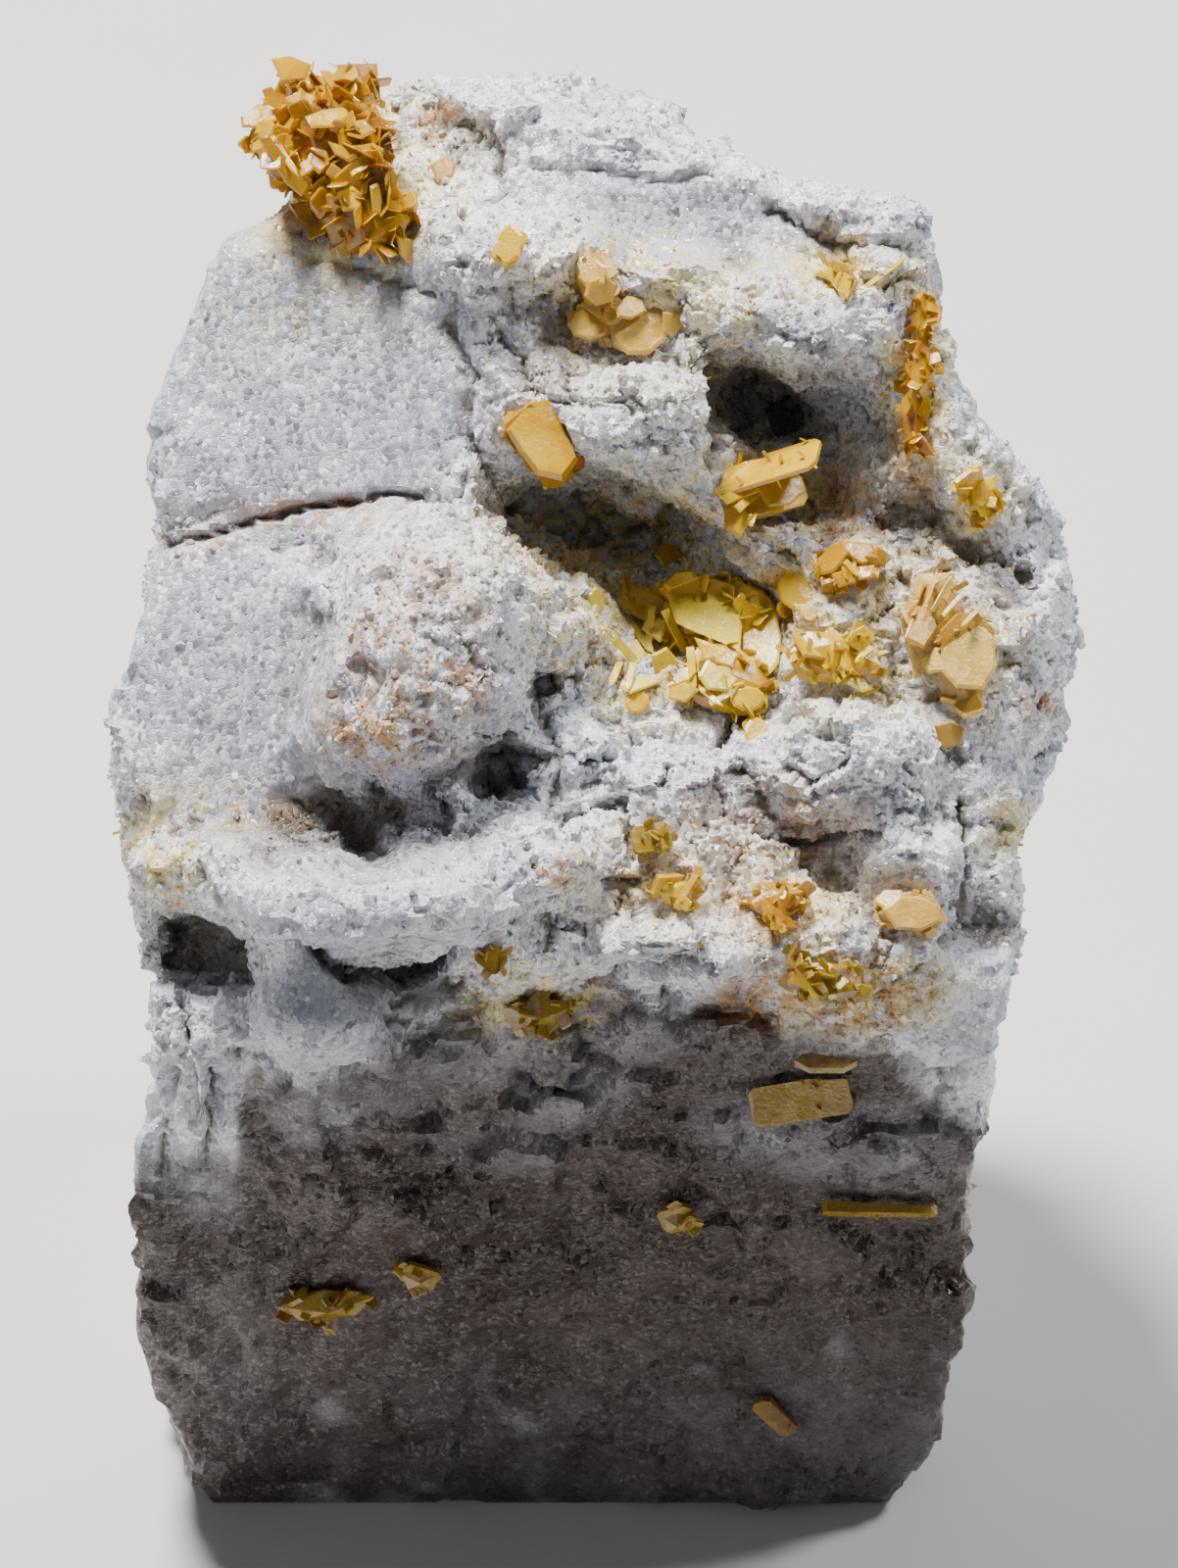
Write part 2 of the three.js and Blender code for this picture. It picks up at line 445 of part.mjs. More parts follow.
// Small tablets strewn over an ellipse, each turned its own way.
function strewnTablets({ at, half: spreadHalf, turn = 0, count, size, lift, thick = 0.14, seed }) {
  const roll = dice(seed);
  const spread = THREE.MathUtils.degToRad(turn);
  return Array.from({ length: count }, (_, i) => {
    const angle = i * GOLDEN_ANGLE;
    const r = Math.sqrt((i + 0.5) / count);
    const x = r * spreadHalf[0] * Math.cos(angle);
    const y = r * spreadHalf[1] * Math.sin(angle);
    const u = at[0] + x * Math.cos(spread) - y * Math.sin(spread);
    const v = at[1] + x * Math.sin(spread) + y * Math.cos(spread);
    const wide = size[0] + (size[1] - size[0]) * roll();
    const looks = [1.8 * roll() - 0.9, 1.8 * roll() - 0.9, 0.35 + 0.5 * roll()];
    const tall = wide * (0.7 + 0.3 * roll());
    const raised = lift * (0.7 + 0.6 * roll());
    const half = [wide, tall, thick];
    return tablet({ at: [u, v], lift: raised, half, looks, spin: 360 * roll(), clip: 0 });
  });
}

// One cluster: everything it is grown from joined in one solid, cut back clear of the rock.
const rockBelow = rock.translate([0, 0, CONTACT_GAP]);
const rockBeside = rock.translate([-CONTACT_GAP, 0, 0]);

function cluster({ roots = [], tablets = [], strewn = [], overEdge = false }) {
  const parts = [...roots.map(root), ...tablets.map(tablet), ...strewn.flatMap(strewnTablets)];
  const grown = parts.reduce((joined, part) => joined.add(part)).subtract(rockBelow).subtract(rock);
  return largestPiece(overEdge ? grown.subtract(rockBeside) : grown);
}

const CLUSTERS = [
  {
    name: "cap_cluster",
    material: ORANGE,
    overEdge: true,
    roots: [
      { at: [-13.6, 32.4], lift: 1.4, half: [2.9, 4, 3.2], turn: 10, seed: 1 },
      { at: [-11.4, 28.8], lift: 0.4, half: [2.8, 2.2, 1.8], seed: 2 },
    ],
    tablets: [
      { at: [-14.9, 34.6], lift: 5, half: [1.7, 1.3, 0.2], looks: [-0.5, 0.5, 0.7], spin: 30 },
      { at: [-15.9, 33.4], lift: 4, half: [1.7, 1.4, 0.2], looks: [-0.6, 0.1, 0.8], spin: 60 },
      { at: [-11.4, 32.6], lift: 4.4, half: [1.5, 1.3, 0.2], looks: [0.6, 0.1, 0.8], spin: 15 },
      { at: [-11.4, 30.8], lift: 2.4, half: [1.4, 1.2, 0.2], looks: [0.2, -0.3, 1], spin: 40 },
      { at: [-15.5, 32], lift: 4, half: [1.5, 1.1, 0.14], looks: [0.7, 0.7, 0.3], spin: 20, clip: 0 },
      { at: [-14.4, 30.6], lift: 3.6, half: [1.6, 1.4, 0.16], looks: [-0.3, -0.2, 1], spin: 30 },
      { at: [-8.8, 26.6], lift: 0.9, half: [1.1, 0.8, 0.12], looks: [0.2, 0.8, 0.5], spin: 40 },
    ],
    strewn: [
      { at: [-13.6, 33], half: [3.3, 3.6], count: 4, size: [1, 1.7], lift: 4.4, seed: 11 },
      { at: [-11, 28.6], half: [2.8, 2.2], count: 2, size: [0.7, 1.2], lift: 1.4, seed: 12 },
    ],
  },
  {
    name: "vug_cluster",
    material: YELLOW,
    roots: [
      { at: [4.6, 7.6], lift: 0.35, half: [5, 2.4, 1.2], turn: -8, seed: 3 },
      { at: [8.6, 8.6], lift: 0.45, half: [2.8, 2.2, 1.2], seed: 4 },
      { at: [6.6, 5], lift: 0.35, half: [3, 1.6, 0.9], seed: 5 },
      { at: [6.8, 6], lift: 0.2, half: [1.5, 1.8, 2.6], seed: 28 },
    ],
    tablets: [
      { at: [5.9, 8.8], lift: 1.6, half: [1.9, 1.8, 0.16], looks: [0.1, -0.35, 1], spin: -16 },
      { at: [8.6, 7.5], lift: 1.2, half: [1.2, 1.6, 0.16], looks: [0.2, -0.2, 1], spin: -18 },
      { at: [6.4, 6.8], lift: 1, half: [1.2, 1, 0.14], looks: [0, 0.5, 0.8], spin: 10 },
      { at: [8.1, 4.3], lift: 0.9, half: [1, 0.8, 0.14], looks: [0.1, 0.2, 1], clip: 0.5 },
      { at: [8.6, 2.6], lift: 0.9, half: [0.8, 0.9, 0.14], looks: [0.3, 0.2, 1], clip: 0.5 },
    ],
    strewn: [
      { at: [3.2, 7.6], half: [2.6, 3], count: 4, size: [0.6, 1.1], lift: 1, thick: 0.09, seed: 21 },
      { at: [7.2, 6], half: [2, 1.6], count: 3, size: [0.6, 1], lift: 0.9, thick: 0.1, seed: 22 },
    ],
  },
  {
    name: "stout_crystal",
    material: ORANGE,
    tablets: [
      { at: [-2.4, 17.5], lift: 0.9, half: [1.3, 2.2, 1], looks: [0.15, -0.3, 1], spin: 38, clip: 0.35 },
    ],
  },
  {
    name: "vug_blade",
    material: YELLOW,
    roots: [{ at: [8.4, 15], lift: 1.2, half: [1.6, 1.2, 2.8], turn: 20, seed: 6 }],
    tablets: [
      { at: [9.1, 16.1], lift: 3.8, half: [2.9, 1.3, 0.12], looks: [-0.45, 0.8, 0.5], spin: -10 },
      { at: [9.4, 14.9], lift: 3.4, half: [1.6, 1.2, 0.14], looks: [0.1, 0.4, 0.9], spin: 20 },
      { at: [8, 14.9], lift: 3, half: [1.1, 1.4, 0.5], looks: [0.1, 0.2, 1], spin: 20 },
    ],
  },
  {
    name: "slope_rosette",
    material: TAN,
    roots: [{ at: [1.1, 24.4], lift: 0.5, half: [1.8, 1.8, 1.9], seed: 8 }],
    tablets: [
      { at: [0.1, 23.6], lift: 1, half: [1.2, 0.9, 0.14], looks: [-0.1, -0.2, 1], clip: 0.6 },
      { at: [2.6, 23.4], lift: 1.1, half: [1.6, 1.4, 0.16], looks: [0.15, -0.25, 1], spin: 14, clip: 0.5 },
      { at: [0.4, 25.8], lift: 0.7, half: [0.9, 1.2, 0.4], looks: [0.3, 0.3, 1], spin: 20 },
    ],
  },
  {
    name: "crest_fleck",
    material: YELLOW,
    tablets: [{ at: [-4.1, 27.4], lift: 0.4, half: [0.7, 1, 0.3], looks: [0.2, 0.3, 1], spin: -25 }],
  },
  {
    name: "crest_blades",
    material: YELLOW,
    roots: [{ at: [12.6, 25.9], lift: 0.35, half: [1.3, 0.7, 0.7], turn: -6, seed: 9 }],
    strewn: [
      { at: [12.8, 25.9], half: [1.5, 0.7], count: 3, size: [0.5, 0.9], lift: 0.5, thick: 0.1, seed: 31 },
    ],
  },
  {
    name: "groove_crust",
    material: ORANGE,
    roots: [
      { at: [16.8, 23], lift: 0.6, half: [0.9, 2.8, 1], seed: 10 },
      { at: [16.7, 19.2], lift: 0.6, half: [0.9, 3, 1], seed: 11 },
      { at: [16.8, 21.2], lift: 0.7, half: [0.9, 2.2, 1.4], seed: 29 },
    ],
    strewn: [
      { at: [16.8, 20.6], half: [0.9, 4.4], count: 4, size: [0.5, 0.9], lift: 0.6, thick: 0.12, seed: 32 },
    ],
  },
  {
    name: "saddle_plates",
    material: ORANGE,
    roots: [{ at: [13.1, 11], lift: 0.35, half: [1.6, 1.1, 0.8], seed: 12 }],
    tablets: [
      { at: [12.6, 11.2], lift: 0.8, half: [1, 0.9, 0.14], looks: [-0.3, 0.4, 1], spin: 15, clip: 0 },
      { at: [13.8, 11.4], lift: 0.8, half: [1.1, 0.9, 0.14], looks: [0.2, 0.6, 0.8], spin: -10, clip: 0 },
    ],
  },
  {
    name: "slope_blades",
    material: YELLOW,
    roots: [{ at: [12.4, 6.4], lift: 0.35, half: [2.6, 1.4, 0.8], turn: -8, seed: 13 }],
    strewn: [
      { at: [12.4, 6.4], half: [2.8, 1.6], count: 5, size: [0.6, 1], lift: 0.7, thick: 0.1, seed: 33 },
    ],
  },
  {
    name: "shoulder_crust",
    material: TAN,
    roots: [
      { at: [17.6, 8.4], lift: 0.35, half: [1.8, 3, 0.8], seed: 14 },
      { at: [19, 6.2], lift: 0.35, half: [1.6, 2.6, 0.8], seed: 15 },
    ],
    tablets: [
      { at: [19.3, 6.8], lift: 0.9, half: [1.4, 1.9, 0.14], looks: [0.3, -0.1, 1], clip: 0.6 },
      { at: [17, 8.2], lift: 0.8, half: [0.9, 1.2, 0.16], looks: [0, 0.3, 1], spin: 15 },
    ],
    strewn: [
      { at: [18.2, 7.6], half: [2, 3.4], count: 3, size: [0.5, 0.9], lift: 0.6, thick: 0.1, seed: 34 },
    ],
  },
  {
    name: "shoulder_tip_cluster",
    material: YELLOW,
    roots: [{ at: [20, 14.8], lift: 0.35, half: [1.1, 1.1, 0.9], seed: 16 }],
    strewn: [
      { at: [20, 14.8], half: [1.1, 1.2], count: 3, size: [0.5, 0.9], lift: 0.7, thick: 0.14, seed: 35 },
    ],
  },
  {
    name: "slope_knot",
    material: OLIVE,
    roots: [{ at: [3.2, -2.8], lift: 0.35, half: [1, 0.7, 0.8], seed: 17 }],
    tablets: [{ at: [3.2, -2.8], lift: 0.7, half: [1, 0.7, 0.25], looks: [0.1, 0.3, 1], spin: 10 }],
  },
  {
    name: "slope_flecks",
    material: YELLOW,
    roots: [{ at: [4.7, -5.5], lift: 0.35, half: [1.3, 0.7, 0.6], seed: 18 }],
    strewn: [
      { at: [4.7, -5.5], half: [1.4, 0.7], count: 3, size: [0.45, 0.8], lift: 0.5, thick: 0.16, seed: 36 },
    ],
  },
  {
    name: "lip_crust",
    material: ORANGE,
    roots: [{ at: [9.7, -6.1], lift: 0.35, half: [1.9, 1.1, 0.8], seed: 19 }],
    strewn: [
      { at: [9.7, -6], half: [1.9, 1.1], count: 4, size: [0.5, 0.9], lift: 0.6, thick: 0.16, seed: 37 },
    ],
  },
  {
    name: "lip_nugget",
    material: TAN,
    roots: [{ at: [16.2, -6.5], lift: 0.65, half: [1.8, 1, 0.9], turn: 4, seed: 20 }],
    tablets: [
      { at: [15.9, -6.4], lift: 0.8, half: [1.3, 0.8, 0.35], looks: [-0.1, 0.3, 1], spin: 5 },
      { at: [17.1, -6.6], lift: 0.7, half: [0.8, 0.9, 0.35], looks: [0.3, 0.2, 1], spin: 30, clip: 0 },
    ],
  },
  {
    name: "brow_crust",
    material: OLIVE,
    roots: [
      { at: [12.4, -10], lift: 0.35, half: [2, 1.3, 1], turn: -20, seed: 21 },
      { at: [15.6, -11.8], lift: 0.35, half: [1.8, 1.2, 1], turn: -20, seed: 22 },
      { at: [14, -10.9], lift: 0.4, half: [1.8, 1, 1.6], turn: -20, seed: 30 },
    ],
    strewn: [
      {
        at: [13.8, -10.8], half: [3.2, 1.3], turn: -26, count: 5, size: [0.6, 1.1], lift: 0.7,
        thick: 0.2, seed: 38,
      },
    ],
  },
  {
    name: "ledge_cluster",
    material: OLIVE,
    roots: [{ at: [-2.5, -11.2], lift: 0.8, half: [2.3, 1.5, 1.8], seed: 23 }],
    strewn: [
      { at: [-2.5, -11.2], half: [2, 1.2], count: 4, size: [0.6, 1.1], lift: 1, thick: 0.22, seed: 39 },
    ],
  },
  {
    name: "ledge_tip_crystals",
    material: OLIVE,
    roots: [{ at: [-5.5, -8.3], lift: 0.45, half: [0.8, 1, 0.8], turn: 30, seed: 24 }],
    tablets: [
      { at: [-5.8, -7.9], lift: 0.7, half: [0.7, 0.6, 0.25], looks: [-0.2, 0.3, 1], spin: 20, clip: 0 },
      { at: [-5, -8.9], lift: 0.7, half: [0.6, 0.7, 0.25], looks: [0.2, 0, 1], spin: 50 },
    ],
  },
  {
    name: "front_sliver",
    material: OLIVE,
    tablets: [
      { at: [12.1, -14.2], lift: 0.6, half: [1.6, 0.8, 0.16], looks: [0, 0.86, 0.5], clip: 0.9 },
    ],
  },
  {
    name: "front_plate",
    material: OLIVE,
    tablets: [
      { at: [10.8, -16.1], lift: 0.75, half: [2.6, 1.1, 0.2], looks: [-0.1, -0.35, 1], spin: 12 },
    ],
  },
  {
    name: "front_rod",
    material: OLIVE,
    tablets: [{ at: [14.8, -21.7], lift: 0.7, half: [3, 0.5, 0.3], spin: -8, clip: 0.4 }],
  },
  {
    name: "front_knot_upper",
    material: OLIVE,
    roots: [{ at: [4.5, -22.1], lift: 0.35, half: [1, 1, 0.8], seed: 25 }],
    tablets: [{ at: [4.5, -22.1], lift: 0.5, half: [0.9, 0.9, 0.2], spin: 20 }],
  },
  {
    name: "front_crust_left",
    material: OLIVE,
    roots: [{ at: [-13.4, -26.4], lift: 0.35, half: [2.9, 1.1, 0.8], turn: 6, seed: 26 }],
    strewn: [
      { at: [-13.4, -26.4], half: [2.7, 0.9], count: 3, size: [0.6, 1], lift: 0.5, thick: 0.14, seed: 40 },
    ],
  },
  {
    name: "front_crust_middle",
    material: OLIVE,
    roots: [{ at: [-8.6, -25], lift: 0.35, half: [1.2, 1, 0.8], seed: 27 }],
    tablets: [{ at: [-8.6, -25], lift: 0.5, half: [1, 0.8, 0.2], spin: -20 }],
  },
  {
    name: "front_chip",
    material: OLIVE,
    tablets: [{ at: [9.5, -32.2], lift: 0.5, half: [1.5, 0.6, 0.25], spin: -52, clip: 0.5 }],
  },
];

const rockMesh = new THREE.Mesh(geometryOf(rock), QUARTZ);
rockMesh.name = "quartz_matrix";
face.add(rockMesh);
for (const spec of CLUSTERS) {
  const mesh = new THREE.Mesh(geometryOf(cluster(spec)), spec.material);
  mesh.name = spec.name;
  face.add(mesh);
}

const group = new THREE.Group();
group.add(face);
export default group;
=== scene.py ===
# %% [markdown]
# # Wulfenite on quartz
# A specimen the size of a matchbox: a broken block of sugary quartz, and tablets of wulfenite, a
# lead mineral that grows in thin square plates, from lemon yellow to honey orange. The solids
# come ready made from the frame. This lesson dresses them: the block gets its broken, granular
# skin, and every cluster gets plates thin enough to glow.

# %% The frame and the units
import math

import bmesh
import bpy
import numpy as np
from mathutils import Matrix, Vector, bvhtree, kdtree, noise


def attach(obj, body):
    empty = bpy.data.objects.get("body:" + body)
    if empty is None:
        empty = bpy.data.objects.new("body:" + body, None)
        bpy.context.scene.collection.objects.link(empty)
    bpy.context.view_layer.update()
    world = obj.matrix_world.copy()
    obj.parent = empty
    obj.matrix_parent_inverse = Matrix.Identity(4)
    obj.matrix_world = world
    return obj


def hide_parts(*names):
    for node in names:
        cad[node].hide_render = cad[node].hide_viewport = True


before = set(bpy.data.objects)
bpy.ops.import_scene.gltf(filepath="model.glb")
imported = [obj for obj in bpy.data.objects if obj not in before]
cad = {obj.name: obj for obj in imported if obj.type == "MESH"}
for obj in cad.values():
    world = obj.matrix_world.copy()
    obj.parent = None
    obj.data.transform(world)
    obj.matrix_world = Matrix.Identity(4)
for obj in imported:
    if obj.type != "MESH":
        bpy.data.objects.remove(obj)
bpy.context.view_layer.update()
MM = 0.001
# The vector noise starts from the clock unless it is given a seed.
noise.seed_set(5)

# %% [markdown]
# The crystals sit on a face that leans back: it looks 40 degrees up. Places on it are easiest to
# read in a frame of its own, u across, v up the face and w out of it, in millimetres. One matrix
# turns a place on the specimen into that frame. The materials use the same turn, so a stain can
# be put where a maker would point at it.

# %% The face frame
FACE_LOOKS_UP = math.radians(40)
FACE_MIDDLE = Vector((0, -10, 45.8))
EYE_DISTANCE = 450

face_to_world = Matrix.Translation(FACE_MIDDLE) @ Matrix.Rotation(math.pi / 2 - FACE_LOOKS_UP, 4, "X")
world_to_face = face_to_world.inverted()


def face_places(mesh):
    """(u, v, w) of every vertex, in millimetres."""
    places = np.empty(len(mesh.vertices) * 3)
    mesh.vertices.foreach_get("co", places)
    turn = np.array(world_to_face)
    return places.reshape(-1, 3) / MM @ turn[:3, :3].T + turn[:3, 3]


def inside(places, at, half, turn=0, soft=0.25):
    """How far each place lies in an ellipse on the face: 1 well inside, fading to 0 at the rim."""
    angle = math.radians(turn)
    du, dv = places[:, 0] - at[0], places[:, 1] - at[1]
    along = (du * math.cos(angle) + dv * math.sin(angle)) / half[0]
    across = (dv * math.cos(angle) - du * math.sin(angle)) / half[1]
    reach = np.hypot(along, across)
    return np.clip((1 - reach) / soft + 0.5, 0, 1)


# %% Helpers that make an object and finish its mesh
def piece_from(mesh, name):
    piece = bpy.data.objects.new(name, mesh)
    bpy.context.collection.objects.link(piece)
    return piece


def merged_copy(node, name):
    """A copy of a solid's mesh with its loose triangles joined."""
    mesh = cad[node].data.copy()
    mesh.transform(cad[node].matrix_world)
    work = bmesh.new()
    work.from_mesh(mesh)
    bmesh.ops.remove_doubles(work, verts=work.verts, dist=0.004 * MM)
    work.to_mesh(mesh)
    work.free()
    return piece_from(mesh, name)


def settled(piece):
    """The piece's mesh with its modifiers done, and the modifiers gone."""
    graph = bpy.context.evaluated_depsgraph_get()
    mesh = bpy.data.meshes.new_from_object(piece.evaluated_get(graph))
    piece.modifiers.clear()
    piece.data = mesh
    return piece


# %% [markdown]
# ## The quartz block
# Real broken quartz is lumpy at every size: ledges of millimetres, knobs of half a millimetre and
# grains like sugar. A sculptor would use ever finer brushes. Here the solid is wrapped in an even
# skin by a voxel remesh, the crystal side of that skin is divided finer, and each point is then
# pushed in or out by layered noise. A few broad faces broke smoother, so it is calmed there.

# %% An even skin, finer on the crystal side
SKIN_STEP = 0.92
rock = merged_copy("quartz_matrix", "quartz_block")
skin = rock.modifiers.new("skin", "REMESH")
skin.mode = "VOXEL"
skin.voxel_size = SKIN_STEP * MM
settled(rock)
print("skin:", len(rock.data.polygons), "faces")


def finer_where(mesh, wanted, cuts):
    """Divides the faces of which every corner is wanted."""
    work = bmesh.new()
    work.from_mesh(mesh)
    work.verts.ensure_lookup_table()
    edges = {e for f in work.faces if all(wanted[v.index] for v in f.verts) for e in f.edges}
    bmesh.ops.subdivide_edges(work, edges=list(edges), cuts=cuts, use_grid_fill=True)
    bmesh.ops.triangulate(work, faces=[f for f in work.faces if len(f.verts) > 4])
    work.to_mesh(mesh)
    work.free()


def looks_out(mesh):
    """How squarely each point of a mesh looks out of the crystal face, from -1 to 1."""
    normals = np.empty(len(mesh.vertices) * 3)
    mesh.vertices.foreach_get("normal", normals)
    out = np.array(face_to_world.to_3x3() @ Vector((0, 0, 1)))
    return normals.reshape(-1, 3) @ out


def neighbour_average(mesh, values, rounds):
    """values smoothed over the mesh, a little at a time."""
    edges = np.empty(len(mesh.edges) * 2, dtype=np.int64)
    mesh.edges.foreach_get("vertices", edges)
    a, b = edges.reshape(-1, 2).T
    degree = np.bincount(np.concatenate([a, b]), minlength=len(mesh.vertices)).clip(1)[:, None]
    smooth = values.copy()
    for _ in range(rounds):
        total = np.zeros_like(smooth)
        for column in range(smooth.shape[1]):
            total[:, column] = np.bincount(a, smooth[b, column], len(smooth))
            total[:, column] += np.bincount(b, smooth[a, column], len(smooth))
        smooth = 0.3 * smooth + 0.7 * total / degree
    return smooth


def crystal_face(mesh):
    """1 on the side that bears the crystals, fading to 0 round the corner."""
    out = neighbour_average(mesh, looks_out(mesh)[:, None], 12)[:, 0]
    return np.clip((out + 0.35) / 0.4, 0, 1)


CALM_FACES = [
    ((-14.6, 20.6), (8.6, 8.6), 0, 0.85),
    ((-18.4, 5), (5.2, 8), 0, 0.8),
    ((5.2, 28.8), (6.8, 2.6), -12, 0.9),
    ((20, -10.8), (3, 4), 0, 0.5),
    ((-11.6, -6), (8.4, 2.8), 3, 0.45),
    ((-14, -11.6), (4.4, 3.4), -12, 0.5),
    ((-2, -35), (26, 9), 0, 0.35),
]


def granular(places):
    """1 where the quartz broke in grains and less where it broke smooth."""
    calm = np.zeros(len(places))
    for at, half, turn, share in CALM_FACES:
        calm = np.maximum(calm, share * inside(places, at, half, turn, 0.3))
    return 1 - calm


places = face_places(rock.data)
crystal_side = (looks_out(rock.data) > -0.1) & (places[:, 2] > -28)
finer_where(rock.data, crystal_side, 1)
places = face_places(rock.data)
finest = (looks_out(rock.data) > 0) & (granular(places) > 0.8) & (np.abs(places[:, 0] - 4) < 13)
finest &= (places[:, 1] > -11) & (places[:, 1] < 27) & (places[:, 2] > -8)
finer_where(rock.data, finest, 1)
print("finer skin:", len(rock.data.polygons), "faces", int(finest.sum()))

# %% Cracks and steps, as lines on the face with their width and depth in millimetres
CRACKS = [
    ([(-23.5, 12.2), (-20, 12.5), (-15, 14)], 0.26, 0.8),
    ([(-15, 14), (-10.4, 14.8), (-7.4, 14.9)], 0.28, 0.9),
    ([(-14.6, -8.2), (-12, -9.6), (-9, -9.9), (-6.4, -8.6)], 0.4, 1.6),
    ([(-6.4, 26.4), (-7.2, 23.4), (-6, 20.6), (-6.6, 18), (-4.8, 15.6)], 0.45, 0.5),
    ([(-15.2, 27), (-12, 26.4), (-9, 25.2), (-6.4, 24.4)], 0.3, 0.3),
    ([(6.5, 21.6), (6.8, 19), (6.4, 16.2)], 0.5, 1.2),
    ([(-8, 31.2), (-4, 31.6), (0, 31.4), (4, 30.6), (6.7, 31.4)], 0.3, 0.35),
    ([(0.2, 1), (3, 3), (6.4, 2.2), (8, 4)], 0.3, 1.1),
    ([(-2, -1.6), (1.6, -0.8), (2.4, -3.8)], 0.3, 0.9),
    ([(8.6, -2.4), (11.4, -3.2), (14.6, -2.6)], 0.3, 0.9),
    ([(19, -1), (19.6, -4), (18.4, -8)], 0.35, 0.9),
    ([(-18.8, -15), (-19.6, -19)], 0.4, 1.6),
    ([(-20.8, -10.4), (-20.2, -17)], 0.3, 1.2),
    ([(-21.8, -11), (-21.2, -18)], 0.3, 1),
    ([(-22.4, -13), (-22.2, -20)], 0.25, 0.8),
    ([(16.8, 10.6), (20.4, 11.6), (23.2, 10.6)], 0.3, 0.9),
    ([(9, 29.4), (12, 27.6), (16.6, 27.2)], 0.3, 0.6),
    ([(-17.8, -8), (-17.9, -12), (-15.6, -15.2), (-11.2, -15)], 0.5, 1.1),
    ([(-16.6, -18.4), (-14, -18.6), (-11.8, -17.4)], 0.4, 0.9),
]


def cracked(places):
    """How deep the cracks are at each place."""
    depth = np.zeros(len(places))
    ragged = np.array([0.22 * noise.noise(Vector(place) * 1.7) for place in places])
    for line, width, deep in CRACKS:
        for start, end in zip(line, line[1:]):
            start, end = np.array(start), np.array(end)
            along = end - start
            share = np.clip((places[:, :2] - start) @ along / (along @ along), 0, 1)
            away = np.hypot(*(places[:, :2] - start - share[:, None] * along).T) + ragged
            depth = np.maximum(depth, deep * np.clip(1.2 - away / width, 0, 1))
    return depth


# %% Pushing the skin in and out, chip by chip
def layered(point, size, seed, octaves=3):
    return noise.fractal(point / size + Vector((seed, 2 * seed, 3 * seed)), 0.6, 2.1, octaves)


HALF = Vector((0.5, 0.5, 0.5))
CHIP_TILT, CHIP_STEP = 1.7, 0.5
JOINT_DEPTH, JOINT_WIDTH = 0.16, 0.18


def chip(point, size, seed):
    """How far a chip's flat tilted face stands out here, and the chip's own random number."""
    at = point / size + Vector((seed, 2.3 * seed, 0.7 * seed))
    near, middles = noise.voronoi(at)
    own = noise.cell_vector(57 * middles[0])
    joint = min(1, (near[1] - near[0]) / JOINT_WIDTH)
    stands = CHIP_TILT * (own - HALF).dot(at - middles[0]) + CHIP_STEP * (own.x - 0.5)
    stands -= JOINT_DEPTH * (1 - joint)
    return stands, own.y


CHIP_SIZES = [(4.4, 3.1), (1.9, 5.7), (0.8, 9.3)]
BIG_CHIPS, MID_CHIPS, SMALL_CHIPS = 0.85, 0.5, 0.24
crystals = [n for n in cad if n != "quartz_matrix"]


def near_crystals(places):
    """1 close to a crystal and 0 from 1.6 mm on."""
    spots = np.concatenate([face_places(cad[name].data) for name in crystals])
    tree = kdtree.KDTree(len(spots))
    for i, spot in enumerate(spots):
        tree.insert(spot, i)
    tree.balance()
    return np.array([1 - min(1, max(0, tree.find(place)[2] - 0.2) / 1.4) for place in places])


def roughen(mesh):
    places = face_places(mesh)
    rough, held, cracks = granular(places), near_crystals(places), cracked(places)
    normals = np.empty(len(mesh.vertices) * 3)
    mesh.vertices.foreach_get("normal", normals)
    normals = normals.reshape(-1, 3)
    push, tone = np.empty(len(places)), np.empty(len(places))
    for i, place in enumerate(places):
        point = Vector(place)
        bent = point + 0.25 * noise.noise_vector(point / 1.3)
        (big, _), (mid, shade), (small, fleck) = [chip(bent, *each) for each in CHIP_SIZES]
        loose = rough[i] * (1 - 0.8 * held[i])
        push[i] = loose * (BIG_CHIPS * big + MID_CHIPS * mid) + rough[i] * SMALL_CHIPS * small
        push[i] += (0.05 + 0.05 * rough[i]) * layered(point, 0.8, 1.3, 3) - 0.12 * held[i]
        tone[i] = 0.5 * shade + 0.5 * fleck
    push -= cracks * crystal_face(mesh)
    spots = np.empty(len(places) * 3)
    mesh.vertices.foreach_get("co", spots)
    spots = spots.reshape(-1, 3)
    push *= np.clip(spots[:, 2] / (1.5 * MM), 0, 1)
    spots += normals * (push * MM)[:, None]
    spots[:, 2] = np.maximum(spots[:, 2], 0)
    mesh.vertices.foreach_set("co", spots.ravel())
    mesh.update()
    return push, tone, held


SHARP_EDGE = math.radians(38)
push, tone, held = roughen(rock.data)
rock.data.shade_smooth()
rock.data.set_sharp_from_angle(angle=SHARP_EDGE)
print("pushed between", round(push.min(), 2), "and", round(push.max(), 2), "mm")

# %% [markdown]
# ## Maps painted on the block
# Two things decide a grain's colour: where it is and how deep it lies, and the darkening with depth is
# painted shade. Rust lies in stains, recesses under ledges and knobs get painted shade, the lower front
# is stained brown and darkened further as painted shade, yellow dust lies round the clusters, and the
# smooth faces are greyer than the sugary ones. Each is stored as a number on every point of the mesh,
# as a painter would lay down masks, and the material mixes its colours by them.


# %% Storing a map on a mesh
def store_map(mesh, name, values):
    layer = mesh.attributes.new(name, "FLOAT", "POINT")
    layer.data.foreach_set("value", np.clip(values, 0, 1).astype(np.float32))


